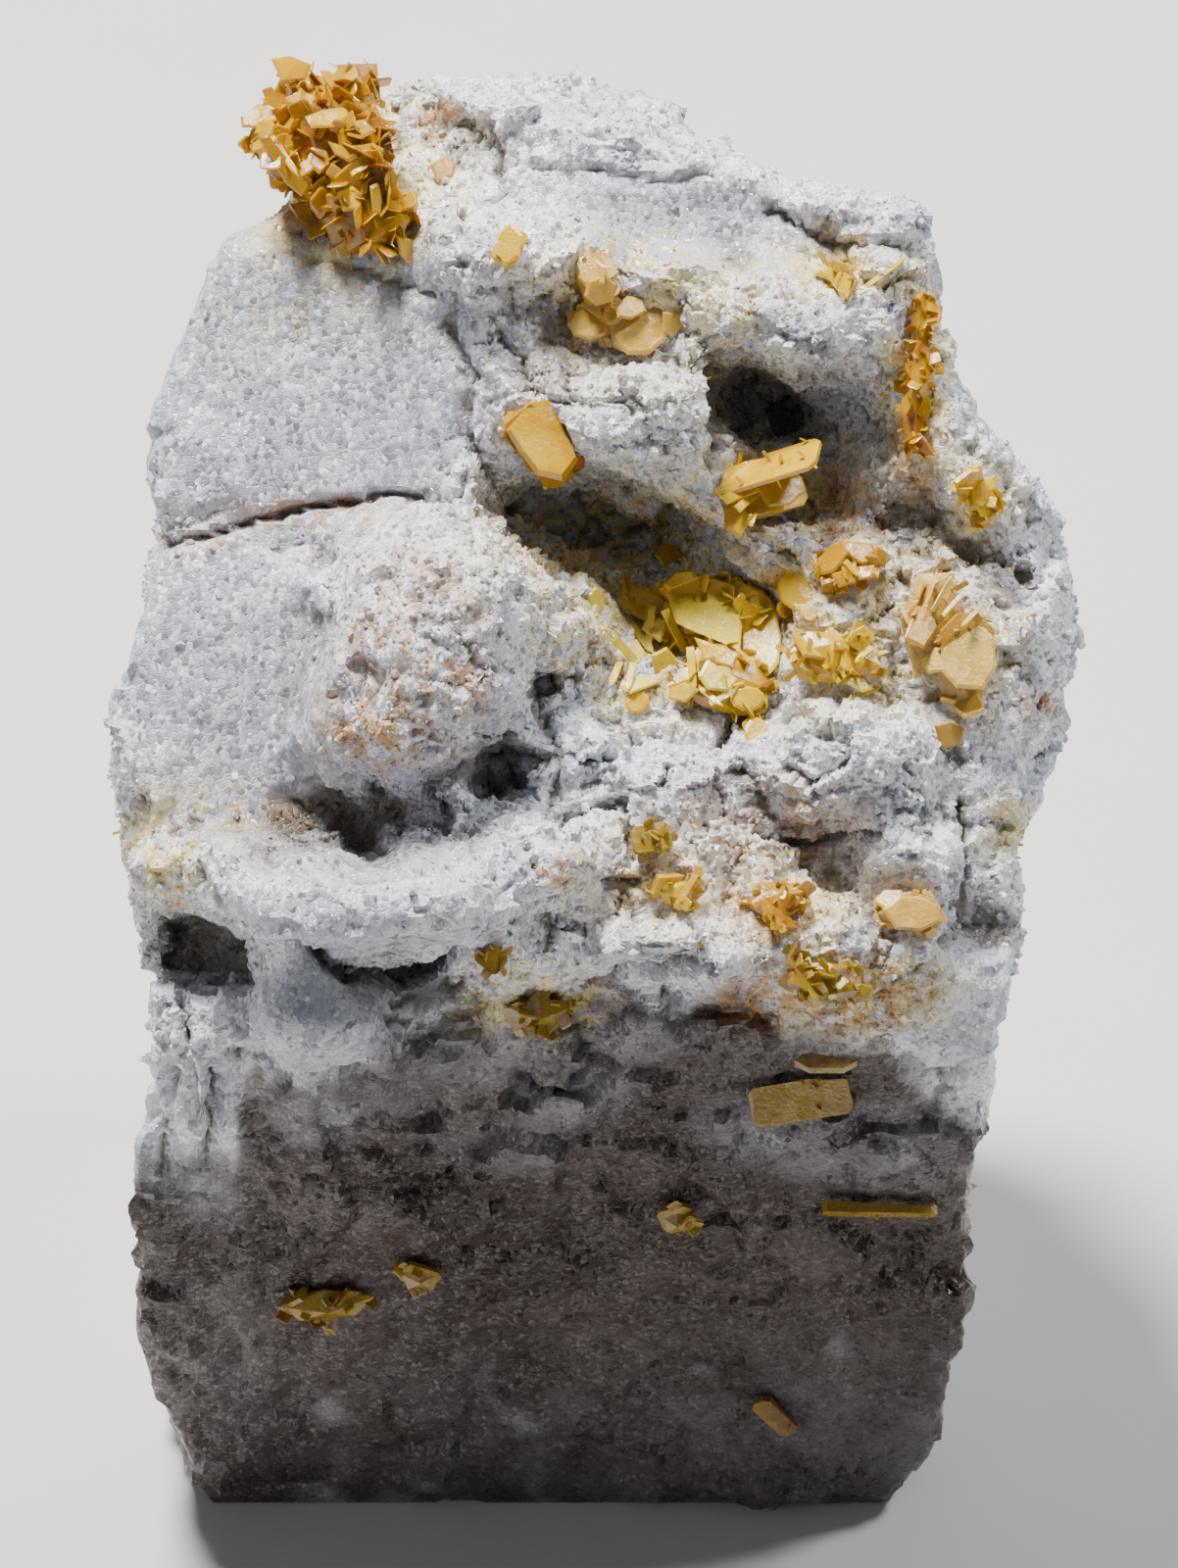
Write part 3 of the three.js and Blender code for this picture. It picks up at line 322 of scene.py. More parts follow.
def sunk(mesh, rounds, scale):
    """1 in hollows and 0 on open ground: how far each point lies under the ground round it."""
    places = face_places(mesh)
    average = neighbour_average(mesh, places, rounds)
    normals = np.empty(len(mesh.vertices) * 3)
    mesh.vertices.foreach_get("normal", normals)
    turned = normals.reshape(-1, 3) @ np.array(world_to_face)[:3, :3].T
    depth = ((average - places) * turned).sum(axis=1)
    return np.clip(depth / scale, 0, 1)


# %% The maps of the block
YELLOW_DUST = [
    ((-12.5, 31), (5, 5.5), 0.8), ((4.4, 7.6), (6, 4.4), 0.9), ((13.6, 8.6), (6.5, 5), 0.7),
    ((1.6, 25), (4.4, 3.4), 0.7), ((12, 26), (5, 1.6), 0.6), ((16.8, 20.8), (1.8, 5.6), 0.8),
    ((19.4, 14.6), (2.4, 2.4), 0.6), ((18.2, 7.4), (3.6, 4.6), 0.6), ((10, 15), (4, 3), 0.6),
    ((9.8, -6), (4, 2.4), 0.7), ((14, -10.4), (4.4, 2.4), 0.7), ((3.6, -4.6), (4.6, 3), 0.5),
    ((-3, -10.8), (3.4, 2), 0.6), ((-21.6, -3.4), (2.2, 2.8), 0.8), ((21, -2), (1.6, 1.6), 0.7),
    ((1.4, 12.4), (6.4, 3), 0.75), ((-8, 30.4), (3, 4), 0.35), ((2, 22), (6, 4), 0.3),
    ((-15, 24.6), (5, 3), 0.25), ((-19.4, -1.4), (3.4, 1.6), 0.45), ((6.8, 24.4), (3, 2), 0.5),
    ((11.6, 3.4), (3, 1.2), 0.35),
]
RUST = [
    ((-8.8, 10), (2.6, 1.8), 0.7), ((-10.2, 6.8), (2.4, 2.2), 0.8), ((-10.6, 3), (3.2, 2.2), 1),
    ((-7.2, 5.2), (2.4, 2), 0.8), ((-6.2, 8.6), (1.6, 1.4), 0.6), ((-14.4, 13.8), (5.4, 0.8), 0.8),
    ((-20.4, 12.4), (2.6, 0.7), 0.7),
    ((12, -10.6), (5, 2), 0.95), ((10, -6.6), (3.6, 1.6), 0.8), ((-6.6, 1.8), (2, 1.4), 0.5),
    ((13.2, 14), (2.8, 1.8), 0.9), ((16.6, 16.6), (1.4, 2.6), 0.8), ((23, 4.2), (0.9, 0.9), 1),
    ((-1.4, -4.2), (1.6, 0.9), 0.9), ((8.6, -1.8), (5, 2.4), 0.6), ((-7.8, 34), (1.4, 1.2), 0.9),
    ((4.6, -5), (4.4, 1.6), 0.6), ((-13.6, -1.6), (4, 1), 0.7), ((9.6, 9.4), (2, 1.4), 0.9),
    ((-14.4, 29), (1.8, 1), 0.8), ((18.6, 8.8), (2.4, 3), 0.5), ((-1.6, 22.4), (2, 2.4), 0.4),
]
# Painted shade: dark spots under overhangs, in the cave and in recesses, where the rock lies in shade.
SHADED_RECESSES = [
    ((-12.2, -2.4), (6, 1.8), 0.85), ((-20.2, -8.6), (3, 1.7), 1), ((8.2, 19.4), (2, 2.2), 0.8),
    ((-4.4, 1.2), (1.3, 2.5), 0.9), ((0.4, 13.2), (5, 1.6), 0.35), ((15.4, 13.6), (2.4, 1.2), 0.8),
    ((-16.6, -15.6), (1.8, 1.6), 0.8), ((-8.8, -10.4), (3.6, 0.8), 0.6), ((20.6, -7.2), (1.8, 0.9), 0.8),
    ((-1.6, 22.4), (1.2, 2.6), 0.7), ((12.8, 19.4), (2.6, 2), 0.15),
]
PALE_ON_FRONT = [
    ((-14, -16.8), (2.6, 1.9), 0.9), ((-1.2, -15.9), (3.2, 1.6), 0.7), ((8.4, -17.8), (3, 1.6), 0.7),
    ((15.2, -18.7), (5.4, 2), 0.75), ((-7.4, -14.6), (4, 2), 0.6), ((-19.8, -19), (2.2, 4), 0.6),
    ((-2, -12.8), (7, 1.8), 0.65), ((8, -13), (5, 1.2), 0.35), ((-9.4, -15.6), (2.4, 1.6), 0.6),
    ((4, -35), (24, 5), 0.22), ((-20, -31), (4, 7), 0.2), ((-10, -31), (7, 3), 0.12),
    ((-4, -18.6), (4, 1.4), 0.45),
]


def spots_map(places, spots):
    total = np.zeros(len(places))
    for at, half, share in spots:
        total = np.maximum(total, share * inside(places, at, half, 0, 0.9))
    return total * on_face


# The front map carries a brown stain and painted shade over it: the lower front is coloured near black.
def dark_front(mesh, places):
    """1 on the lower front below the brow, ragged at its upper edge and round the sides."""
    ragged = np.array([layered(Vector(place), 3.4, 4.4, 2) for place in places])
    brow = np.interp(places[:, 0], BROW_LINE[0], BROW_LINE[1])
    below = np.clip((brow - places[:, 1] + 1.3 * ragged) / 1.6, 0, 1)
    back = np.array([vert.co.y / MM for vert in mesh.vertices])
    return below * np.clip((STAIN_AND_SHADE_ENDS - back + 3 * np.clip(ragged, -1, 1)) / 6, 0, 1)


STAIN_AND_SHADE_ENDS = -9


BROW_LINE = (
    [-24, -22, -18.4, -17.7, -12, -10.5, -8, -6, 1, 5, 7.5, 9, 12, 15, 18, 21],
    [
        -19.5, -19, -18.6, -14.6, -14.4, -12.6, -11.4, -10.6,
        -10.2, -10.6, -9.4, -10.6, -12.8, -13.2, -15, -16.6,
    ],
)
places = face_places(rock.data)
on_face = crystal_face(rock.data)
front = dark_front(rock.data, places)
store_map(rock.data, "granular", granular(places))
store_map(rock.data, "tone", tone)
store_map(rock.data, "yellow_dust", spots_map(places, YELLOW_DUST))
store_map(rock.data, "rust", spots_map(places, RUST))
store_map(rock.data, "front", front)
store_map(rock.data, "recess_shade_map", spots_map(places, SHADED_RECESSES))
store_map(rock.data, "pale_on_front", spots_map(places, PALE_ON_FRONT))
# The sunk map darkens the hollows in the quartz colour: painted shade.
store_map(rock.data, "sunk", 0.6 * sunk(rock.data, 40, 0.9) + 0.6 * sunk(rock.data, 6, 0.16))
print("maps:", [layer.name for layer in rock.data.attributes if layer.domain == "POINT"])

# %% [markdown]
# ## Helpers for node trees
# A tree is a list of nodes and links. The helper class below adds a node, sets its inputs and
# plugs other nodes in, so that a material reads from top to bottom like a recipe.


# %% The tree helper
class Tree:
    """Adds nodes to a tree; an input is a number, a colour or another node's socket."""

    def __init__(self, tree):
        self.tree = tree

    def add(self, kind, inputs=None, **settings):
        node = self.tree.nodes.new(kind)
        for key, value in settings.items():
            setattr(node, key, value)
        for key, value in (inputs or {}).items():
            socket = node.inputs[key]
            if isinstance(value, bpy.types.NodeSocket):
                self.tree.links.new(value, socket)
            else:
                socket.default_value = value
        return node

    def math(self, operation, a, b=0.0, clamp=False):
        return self.add("ShaderNodeMath", {0: a, 1: b}, operation=operation, use_clamp=clamp).outputs[0]

    def ramp(self, value, low, high):
        """0 below low and 1 above high."""
        inputs = {"Value": value, "From Min": low, "From Max": high}
        return self.add("ShaderNodeMapRange", inputs, interpolation_type="SMOOTHSTEP").outputs[0]

    def mix(self, factor, a, b):
        node = self.add("ShaderNodeMix", data_type="RGBA")
        for index, value in ((0, factor), (6, a), (7, b)):
            if isinstance(value, bpy.types.NodeSocket):
                self.tree.links.new(value, node.inputs[index])
            else:
                node.inputs[index].default_value = value
        return node.outputs[2]

    def noise(self, places, scale, detail=3.0, roughness=0.55):
        inputs = {"Vector": places, "Scale": scale, "Detail": detail, "Roughness": roughness}
        return self.add("ShaderNodeTexNoise", inputs).outputs["Fac"]

    def map(self, name):
        return self.add("ShaderNodeAttribute", attribute_name=name).outputs["Fac"]


def new_material(name):
    material = bpy.data.materials.new(name)
    material.use_nodes = True
    material.node_tree.nodes.clear()
    return material, Tree(material.node_tree)


def new_shader_group(name, inputs, outputs):
    group = bpy.data.node_groups.new(name, "ShaderNodeTree")
    for title, kind, value in inputs:
        socket = group.interface.new_socket(title, in_out="INPUT", socket_type=kind)
        if value is not None:
            socket.default_value = value
    for title, kind in outputs:
        group.interface.new_socket(title, in_out="OUTPUT", socket_type=kind)
    tree = Tree(group)
    return group, tree, tree.add("NodeGroupInput").outputs, tree.add("NodeGroupOutput")


# %% [markdown]
# ## Sugar: the grain of the quartz
# Sugary quartz sparkles because each grain is a tiny mirror with its own tilt. Bump from noise
# can't do that, it only ripples. A Voronoi texture splits space into cells and gives each a random
# colour: read as a direction and added to the normal, it tilts every cell as a whole. The same
# random numbers vary the grains' colour and gloss. Crystals use the group too, with larger cells,
# so it is a group with named inputs.

# %% The grain group
PER_MM = 1000.0
sugar, tree, given, result = new_shader_group(
    "sugar_grain",
    [("Grains per mm", "NodeSocketFloat", 4.0), ("Tilt", "NodeSocketFloat", 0.5)],
    [("Normal", "NodeSocketVector"), ("Random", "NodeSocketFloat"), ("Joints", "NodeSocketFloat")],
)
spot = tree.add("ShaderNodeTexCoord").outputs["Object"]
scale = tree.math("MULTIPLY", given["Grains per mm"], PER_MM)
warp = tree.add("ShaderNodeTexNoise", {"Vector": spot, "Scale": 2500.0, "Detail": 1.0}).outputs["Color"]
warped = tree.add("ShaderNodeVectorMath", {0: warp, "Scale": 0.00016}, operation="SCALE").outputs[0]
place = tree.add("ShaderNodeVectorMath", {0: spot, 1: warped}, operation="ADD").outputs[0]
cells = tree.add("ShaderNodeTexVoronoi", {"Vector": place, "Scale": scale})
edges = tree.add("ShaderNodeTexVoronoi", {"Vector": place, "Scale": scale}, feature="DISTANCE_TO_EDGE")
centred = tree.add(
    "ShaderNodeVectorMath", {0: cells.outputs["Color"], 1: (0.5, 0.5, 0.5)}, operation="SUBTRACT"
).outputs[0]
tilted = tree.add("ShaderNodeVectorMath", {0: centred, "Scale": given["Tilt"]}, operation="SCALE").outputs[0]
normal = tree.add("ShaderNodeNewGeometry").outputs["Normal"]
added = tree.add("ShaderNodeVectorMath", {0: normal, 1: tilted}, operation="ADD").outputs[0]
facet = tree.add("ShaderNodeVectorMath", {0: added}, operation="NORMALIZE").outputs[0]
random_value = tree.add("ShaderNodeSeparateColor", {0: cells.outputs["Color"]}).outputs[0]
tree.tree.links.new(facet, result.inputs["Normal"])
tree.tree.links.new(random_value, result.inputs["Random"])
tree.tree.links.new(tree.ramp(edges.outputs["Distance"], 0.0, 0.12), result.inputs["Joints"])
print("group:", sugar.name, [s.name for s in result.inputs if s.name])


def grain(tree, per_mm, tilt):
    node = tree.add("ShaderNodeGroup", node_tree=sugar)
    node.inputs["Grains per mm"].default_value = per_mm
    node.inputs["Tilt"].default_value = tilt
    return node.outputs


# %% [markdown]
# ## The quartz itself
# White and blue-grey where it is granular, greyer and glossier where it broke smooth, brown over
# the lower front and darkened there and in the hollows as painted shade. The glassy reflection of
# each grain makes the sparkle.

# %% The quartz material
WHITE_GRAIN = (0.92, 0.92, 0.94, 1)
BLUE_GREY = (0.58, 0.61, 0.69, 1)
CLEAR_GREY = (0.30, 0.33, 0.41, 1)
SMOOTH_GREY = (0.36, 0.38, 0.46, 1)
# The lower front colours: a brown stain, darkened to near black as painted shade.
FRONT_STAIN_SHADE_BROWN = (0.034, 0.018, 0.012, 1)
FRONT_STAIN_SHADE_GREY = (0.078, 0.054, 0.047, 1)
FRONT_PALE = (0.32, 0.31, 0.35, 1)
DUST_YELLOW = (0.86, 0.66, 0.10, 1)
RUST_BROWN = (0.50, 0.25, 0.06, 1)
HOLLOW_SHADE_BROWN = (0.15, 0.12, 0.085, 1)
RECESS_SHADE_BROWN = (0.07, 0.05, 0.038, 1)

quartz, tree = new_material("quartz")
spot = tree.add("ShaderNodeTexCoord").outputs["Object"]
fine = grain(tree, 3.6, 0.7)
patches = tree.noise(spot, 260.0, 4.0)
speckle = tree.noise(spot, 1500.0, 3.0, 0.7)
grains = tree.mix(tree.ramp(tree.map("tone"), 0.2, 0.75), BLUE_GREY, WHITE_GRAIN)
grains = tree.mix(tree.math("MULTIPLY", tree.ramp(patches, 0.4, 0.65), 0.5), grains, WHITE_GRAIN)
clear = tree.math("MULTIPLY", tree.ramp(fine["Random"], 0.35, 0.0), 0.8)
grains = tree.mix(clear, grains, CLEAR_GREY)
smooth = tree.mix(tree.ramp(speckle, 0.45, 0.75), SMOOTH_GREY, BLUE_GREY)
smooth = tree.mix(tree.ramp(patches, 0.56, 0.84), smooth, WHITE_GRAIN)
smooth = tree.mix(tree.math("MULTIPLY", tree.ramp(fine["Random"], 0.75, 0.95), 0.5), smooth, WHITE_GRAIN)
colour = tree.mix(tree.map("granular"), smooth, grains)
joints = tree.math("SUBTRACT", 1.0, fine["Joints"])
colour = tree.mix(tree.math("MULTIPLY", joints, 0.35), colour, CLEAR_GREY)
mottling = tree.noise(spot, 120.0, 6.0, 0.7)
# The lower front: brown stain darkened as painted shade, with paler lumps.
brown = tree.mix(tree.ramp(mottling, 0.42, 0.66), FRONT_STAIN_SHADE_BROWN, FRONT_STAIN_SHADE_GREY)
paler = tree.math("MULTIPLY", tree.map("pale_on_front"), tree.ramp(patches, 0.2, 0.75))
brown = tree.mix(paler, brown, FRONT_PALE)
colour = tree.mix(tree.map("front"), colour, brown)
blotches = tree.noise(spot, 700.0, 4.0, 0.7)
dusty = tree.math("MULTIPLY", tree.map("yellow_dust"), tree.ramp(blotches, 0.4, 0.55))
colour = tree.mix(tree.math("MULTIPLY", dusty, 0.85), colour, DUST_YELLOW)
rusty = tree.math("MULTIPLY", tree.map("rust"), tree.ramp(tree.noise(spot, 900.0, 4.0, 0.7), 0.41, 0.57))
colour = tree.mix(tree.math("MULTIPLY", rusty, 0.9), colour, RUST_BROWN)
# Painted shade in the recesses, a near black brown.
recess_shade = tree.math("MULTIPLY", tree.map("recess_shade_map"), tree.ramp(patches, 0.25, 0.6))
colour = tree.mix(tree.math("MULTIPLY", recess_shade, 0.9), colour, RECESS_SHADE_BROWN)
# Painted shade: the deeper a point lies in a hollow, the more the quartz darkens towards brown, except on the
# lower front.
sunk_shade = tree.math("MULTIPLY", tree.ramp(tree.map("sunk"), 0.25, 1.0), 0.75)
sunk_shade = tree.math("MULTIPLY", sunk_shade, tree.math("SUBTRACT", 1.0, tree.map("front")))
colour = tree.mix(sunk_shade, colour, HOLLOW_SHADE_BROWN)
roughness = tree.math("MULTIPLY_ADD", fine["Random"], 0.4)
roughness.node.inputs[2].default_value = 0.1
ripple = tree.noise(spot, 2200.0, 4.0, 0.7)
height = tree.math("ADD", tree.math("MULTIPLY", fine["Joints"], 0.5), ripple)
bumped = tree.add(
    "ShaderNodeBump", {"Height": height, "Normal": fine["Normal"], "Strength": 0.5, "Distance": 0.00012}
).outputs[0]
shader = tree.add(
    "ShaderNodeBsdfPrincipled",
    {
        "Base Color": colour,
        "Roughness": roughness,
        "Normal": bumped,
        "IOR": 1.54,
    },
)
tree.tree.links.new(shader.outputs[0], tree.add("ShaderNodeOutputMaterial").inputs["Surface"])
rock.data.materials.clear()
rock.data.materials.append(quartz)
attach(rock, "root")
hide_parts("quartz_matrix")
print("block:", len(rock.data.polygons), "faces")

# %% [markdown]
# ## Crumbs and grains
# On the granular ground broken crumbs and single quartz grains stand out like sugar on a cake.
# Setting each by hand would take a day. Geometry Nodes scatter points over the block, more where
# the map says granular, put a small angular shape on each and turn and size it at random. The
# shapes have few faces, because thousands of them are set.


# %% A crumb with broken faces, and a grain with eight
def angular_shape(name, detail, knock, stretch):
    work = bmesh.new()
    if detail:
        bmesh.ops.create_icosphere(work, subdivisions=detail, radius=1)
    else:
        corners = [work.verts.new(c) for c in ((1, 0, 0), (0, 1, 0), (-1, 0, 0), (0, -1, 0))]
        ends = [work.verts.new((0.2, 0.1, 1)), work.verts.new((-0.1, 0.1, -1))]
        for k in range(4):
            work.faces.new((corners[k], corners[(k + 1) % 4], ends[0]))
            work.faces.new((corners[(k + 1) % 4], corners[k], ends[1]))
    for vert in work.verts:
        vert.co *= 1 + knock * noise.cell(vert.co * 7.7 + HALF)
        vert.co.z *= stretch
    mesh = bpy.data.meshes.new(name)
    work.to_mesh(mesh)
    work.free()
    return piece_from(mesh, name)


crumb_shape = angular_shape("crumb_shape", 1, 0.3, 0.8)
grain_shape = angular_shape("grain_shape", 0, 0.15, 1.3)

# %% [markdown]
# The same tree strews grains on the block and tablets on the clusters. It takes the shape to
# strew, how many per square millimetre, the sizes, how far each leans from the surface and a seed,
# and it stores a random number on every copy, so that no two have quite the same tint.


# %% The strewing tree
def strewing_tree():
    group = bpy.data.node_groups.new("strew_over_surface", "GeometryNodeTree")
    entries = [
        ("Geometry", "NodeSocketGeometry", None), ("Shape", "NodeSocketObject", None),
        ("Per square mm", "NodeSocketFloat", 2.0), ("Apart", "NodeSocketFloat", 0.0001),
        ("Least size", "NodeSocketFloat", 0.1), ("Most size", "NodeSocketFloat", 0.2),
        ("Lean", "NodeSocketFloat", 1.0), ("Stand", "NodeSocketFloat", 0.0),
        ("Keep base", "NodeSocketBool", False), ("Where", "NodeSocketFloat", 1.0),
        ("Seed", "NodeSocketInt", 1), ("Finish", "NodeSocketMaterial", None),
    ]
    for title, kind, value in entries:
        socket = group.interface.new_socket(title, in_out="INPUT", socket_type=kind)
        if value is not None:
            socket.default_value = value
    group.interface.new_socket("Geometry", in_out="OUTPUT", socket_type="NodeSocketGeometry")
    tree = Tree(group)
    given = tree.add("NodeGroupInput").outputs
    density = tree.math("MULTIPLY", given["Per square mm"], PER_MM * PER_MM)
    points = tree.add(
        "GeometryNodeDistributePointsOnFaces",
        {"Mesh": given["Geometry"], "Distance Min": given["Apart"], "Density Max": density,
         "Density Factor": given["Where"], "Seed": given["Seed"]},
        distribute_method="POISSON",
    )
    swing = tree.add(
        "FunctionNodeRandomValue",
        {"Min": (-1, -1, -1), "Max": (1, 1, 1), "Seed": given["Seed"]},
        data_type="FLOAT_VECTOR",
    ).outputs[0]
    widest = {"X": given["Lean"], "Y": given["Lean"], "Z": math.pi}
    reach = tree.add("ShaderNodeCombineXYZ", widest).outputs[0]
    lean = tree.add("ShaderNodeVectorMath", {0: swing, 1: reach}, operation="MULTIPLY").outputs[0]
    upright = tree.add("ShaderNodeCombineXYZ", {"X": given["Stand"]}).outputs[0]
    turn = tree.add("ShaderNodeVectorMath", {0: lean, 1: upright}, operation="ADD").outputs[0]
    rotation = tree.add(
        "FunctionNodeRotateRotation",
        {"Rotation": points.outputs["Rotation"], "Rotate By": turn},
        rotation_space="LOCAL",
    ).outputs[0]
    size = tree.add(
        "FunctionNodeRandomValue",
        {2: given["Least size"], 3: given["Most size"], "Seed": tree.math("ADD", given["Seed"], 7.0)},
        data_type="FLOAT",
    ).outputs[1]
    metres = tree.math("MULTIPLY", size, MM)
    shape = tree.add("GeometryNodeObjectInfo", {"Object": given["Shape"]}).outputs["Geometry"]
    copies = tree.add(
        "GeometryNodeInstanceOnPoints",
        {"Points": points.outputs["Points"], "Instance": shape, "Rotation": rotation, "Scale": metres},
    ).outputs[0]
    tint = tree.add("FunctionNodeRandomValue", {"Seed": 99}, data_type="FLOAT").outputs[1]
    tinted = tree.add(
        "GeometryNodeStoreNamedAttribute",
        {"Geometry": copies, "Name": "tint", "Value": tint},
        data_type="FLOAT", domain="INSTANCE",
    ).outputs[0]
    real = tree.add("GeometryNodeRealizeInstances", {"Geometry": tinted}).outputs[0]
    kept = tree.add(
        "GeometryNodeSwitch", {"Switch": given["Keep base"], "True": given["Geometry"]}, input_type="GEOMETRY"
    ).outputs[0]
    both = tree.add("GeometryNodeJoinGeometry")
    tree.tree.links.new(real, both.inputs[0])
    tree.tree.links.new(kept, both.inputs[0])
    finish = {"Geometry": both.outputs[0], "Material": given["Finish"]}
    done = tree.add("GeometryNodeSetMaterial", finish).outputs[0]
    tree.tree.links.new(done, tree.add("NodeGroupOutput").inputs[0])
    return group


strewing = strewing_tree()


def strewn(base, name, where=None, **wanted):
    """A new piece: copies of a shape strewn over base."""
    piece = piece_from(base.data.copy(), name)
    modifier = piece.modifiers.new("strew", "NODES")
    modifier.node_group = strewing
    ids = {item.name: item.identifier for item in strewing.interface.items_tree if item.in_out == "INPUT"}
    for title, value in wanted.items():
        modifier[ids[title.replace("_", " ")]] = value
    if where:
        modifier[ids["Where"] + "_use_attribute"] = True
        modifier[ids["Where"] + "_attribute_name"] = where
    return settled(piece)


# %% Crumbs and grains over the granular ground
sugar_places = face_places(rock.data)
open_ground = (looks_out(rock.data) > -0.3) & (sugar_places[:, 1] > -14) & (sugar_places[:, 2] > -14)
sugary = granular(sugar_places) ** 2 * (1 - 0.85 * front) * open_ground
store_map(rock.data, "sugary", sugary * (1 - 0.5 * held))
store_map(rock.data, "crumbly", sugary * np.clip(1.2 * tone - 0.1, 0, 1) * (1 - held))
crumbs = strewn(
    rock, "quartz_crumbs", "crumbly", Shape=crumb_shape, Per_square_mm=1.5, Apart=0.00045,
    Least_size=0.12, Most_size=0.36, Lean=math.pi, Seed=3, Finish=quartz,
)
grains = strewn(
    rock, "quartz_grains", "sugary", Shape=grain_shape, Per_square_mm=4.5, Apart=0.0002,
    Least_size=0.05, Most_size=0.14, Lean=math.pi, Seed=4, Finish=quartz,
)
for piece in (crumbs, grains):
    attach(piece, "root")
    print(piece.name, len(piece.data.polygons), "faces")

# %% [markdown]
# ## Wulfenite
# Wulfenite bends light nearly as much as diamond does, so even a dusty plate has a hard bright
# gloss, and the light that enters comes back honey coloured. Part of the light passes (plain
# transmission), part is scattered in the crystal. Every tablet has its own tint, and a little
# brown dust lies in the joints.

# %% The wulfenite materials
def wulfenite(name, deep, middle, pale, clear, gloss):
    material, tree = new_material(name)
    spot = tree.add("ShaderNodeTexCoord").outputs["Object"]
    zones = tree.ramp(tree.noise(spot, 520.0, 3.0), 0.3, 0.7)
    blend = tree.math("ADD", tree.math("MULTIPLY", zones, 0.35), tree.math("MULTIPLY", tree.map("tint"), 0.8))
    colour = tree.mix(tree.ramp(blend, 0.05, 0.5), deep, middle)
    colour = tree.mix(tree.ramp(blend, 0.55, 1.05), colour, pale)
    dust = tree.ramp(tree.noise(spot, 1700.0, 4.0, 0.7), 0.57, 0.7)
    colour = tree.mix(tree.math("MULTIPLY", dust, 0.4), colour, AMBER)
    facets = grain(tree, 1.4, 0.16)
    etched = tree.noise(spot, 4200.0, 3.0, 0.7)
    bumped = tree.add(
        "ShaderNodeBump", {"Height": etched, "Normal": facets["Normal"], "Strength": 0.6, "Distance": 0.0001}
    ).outputs[0]
    roughness = tree.math("MULTIPLY_ADD", dust, 0.35)
    roughness.node.inputs[2].default_value = gloss
    shader = tree.add(
        "ShaderNodeBsdfPrincipled",
        {
            "Base Color": colour,
            "Roughness": roughness,
            "Normal": bumped,
            "IOR": 1.75,
            "Transmission Weight": clear,
            "Subsurface Weight": 0.2,
            "Subsurface Radius": (1.0, 0.55, 0.12),
            "Subsurface Scale": 0.0005,
        },
    )
    tree.tree.links.new(shader.outputs[0], tree.add("ShaderNodeOutputMaterial").inputs["Surface"])
    return material


LEMON, GOLD, HONEY = (0.92, 0.70, 0.07, 1), (0.76, 0.47, 0.005, 1), (0.52, 0.26, 0.002, 1)
AMBER, UMBER, OLIVE = (0.34, 0.11, 0.001, 1), (0.22, 0.08, 0.002, 1), (0.46, 0.36, 0.02, 1)
PALE_HONEY, SAND, DRY_OLIVE = (0.84, 0.52, 0.01, 1), (0.58, 0.34, 0.04, 1), (0.36, 0.23, 0.006, 1)
finishes = {
    "wulfenite_yellow": wulfenite("wulfenite_yellow", HONEY, GOLD, LEMON, 0.18, 0.16),
    "wulfenite_orange": wulfenite("wulfenite_orange", AMBER, (0.66, 0.34, 0.002, 1), PALE_HONEY, 0.3, 0.1),
    "wulfenite_tan": wulfenite("wulfenite_tan", HONEY, SAND, (0.72, 0.49, 0.11, 1), 0.12, 0.28),
    "wulfenite_olive": wulfenite("wulfenite_olive", UMBER, DRY_OLIVE, OLIVE, 0.25, 0.22),
}


# %% One tablet: a thin square plate with cut corners and bevelled rims
def tablet_shape(name, length, width, thick):
    corner = 0.72
    outline = [(1, corner), (corner, 1), (-corner, 1), (-1, corner)]
    outline += [(-x, -y) for x, y in outline]
    work = bmesh.new()

    def ring(share, height):
        return [
            work.verts.new((share * width * x, share * length * y + 0.5 * length, height * thick))
            for x, y in outline
        ]

    low, middle, high = ring(0.86, -1), ring(1, 0), ring(0.86, 1)
    for k in range(8):
        after = (k + 1) % 8
        work.faces.new((low[k], low[after], middle[after], middle[k]))
        work.faces.new((middle[k], middle[after], high[after], high[k]))
    work.faces.new(low[::-1])
    work.faces.new(high)
    mesh = bpy.data.meshes.new(name)
    work.to_mesh(mesh)
    work.free()
    return piece_from(mesh, name)


square_tablet = tablet_shape("square_tablet", 1.0, 1.0, 0.1)
blade_tablet = tablet_shape("blade_tablet", 1.5, 0.5, 0.07)

# %% [markdown]
# ## Plates that everyone looks at
# Strewing gives a crust, but the eye goes to single crystals: the pale leaf in the vug, the bright
# blade on the cap, the lobes of the rosette. Those are drawn one by one. Each is an outline seen
# from the front, in the pixels of a view 1202 wide and 1600 high, with 20 pixels to a millimetre.
# It is laid on a tilted plane a little above the rock and given a thickness and a bevelled rim.

# %% Laying a seen outline on a tilted plane
PLATE_LIFT = 0.35
VIEW_MIDDLE = (601, 800)
PIXELS_PER_MM = 20
ground_places, ground_faces = [], []
for mesh in [rock.data] + [cad[name].data for name in crystals]:
    first = len(ground_places)
    ground_places += [Vector(place) for place in face_places(mesh)]
    ground_faces += [tuple(first + i for i in face.vertices) for face in mesh.polygons]
ground_tree = bvhtree.BVHTree.FromPolygons(ground_places, ground_faces)
eye = Vector((0, 0, EYE_DISTANCE))


def sight(pixel):
    """The direction from the eye to a pixel of the view."""
    across, up = pixel[0] - VIEW_MIDDLE[0], VIEW_MIDDLE[1] - pixel[1]
    return (Vector((across, up, 0)) / PIXELS_PER_MM - eye).normalized()


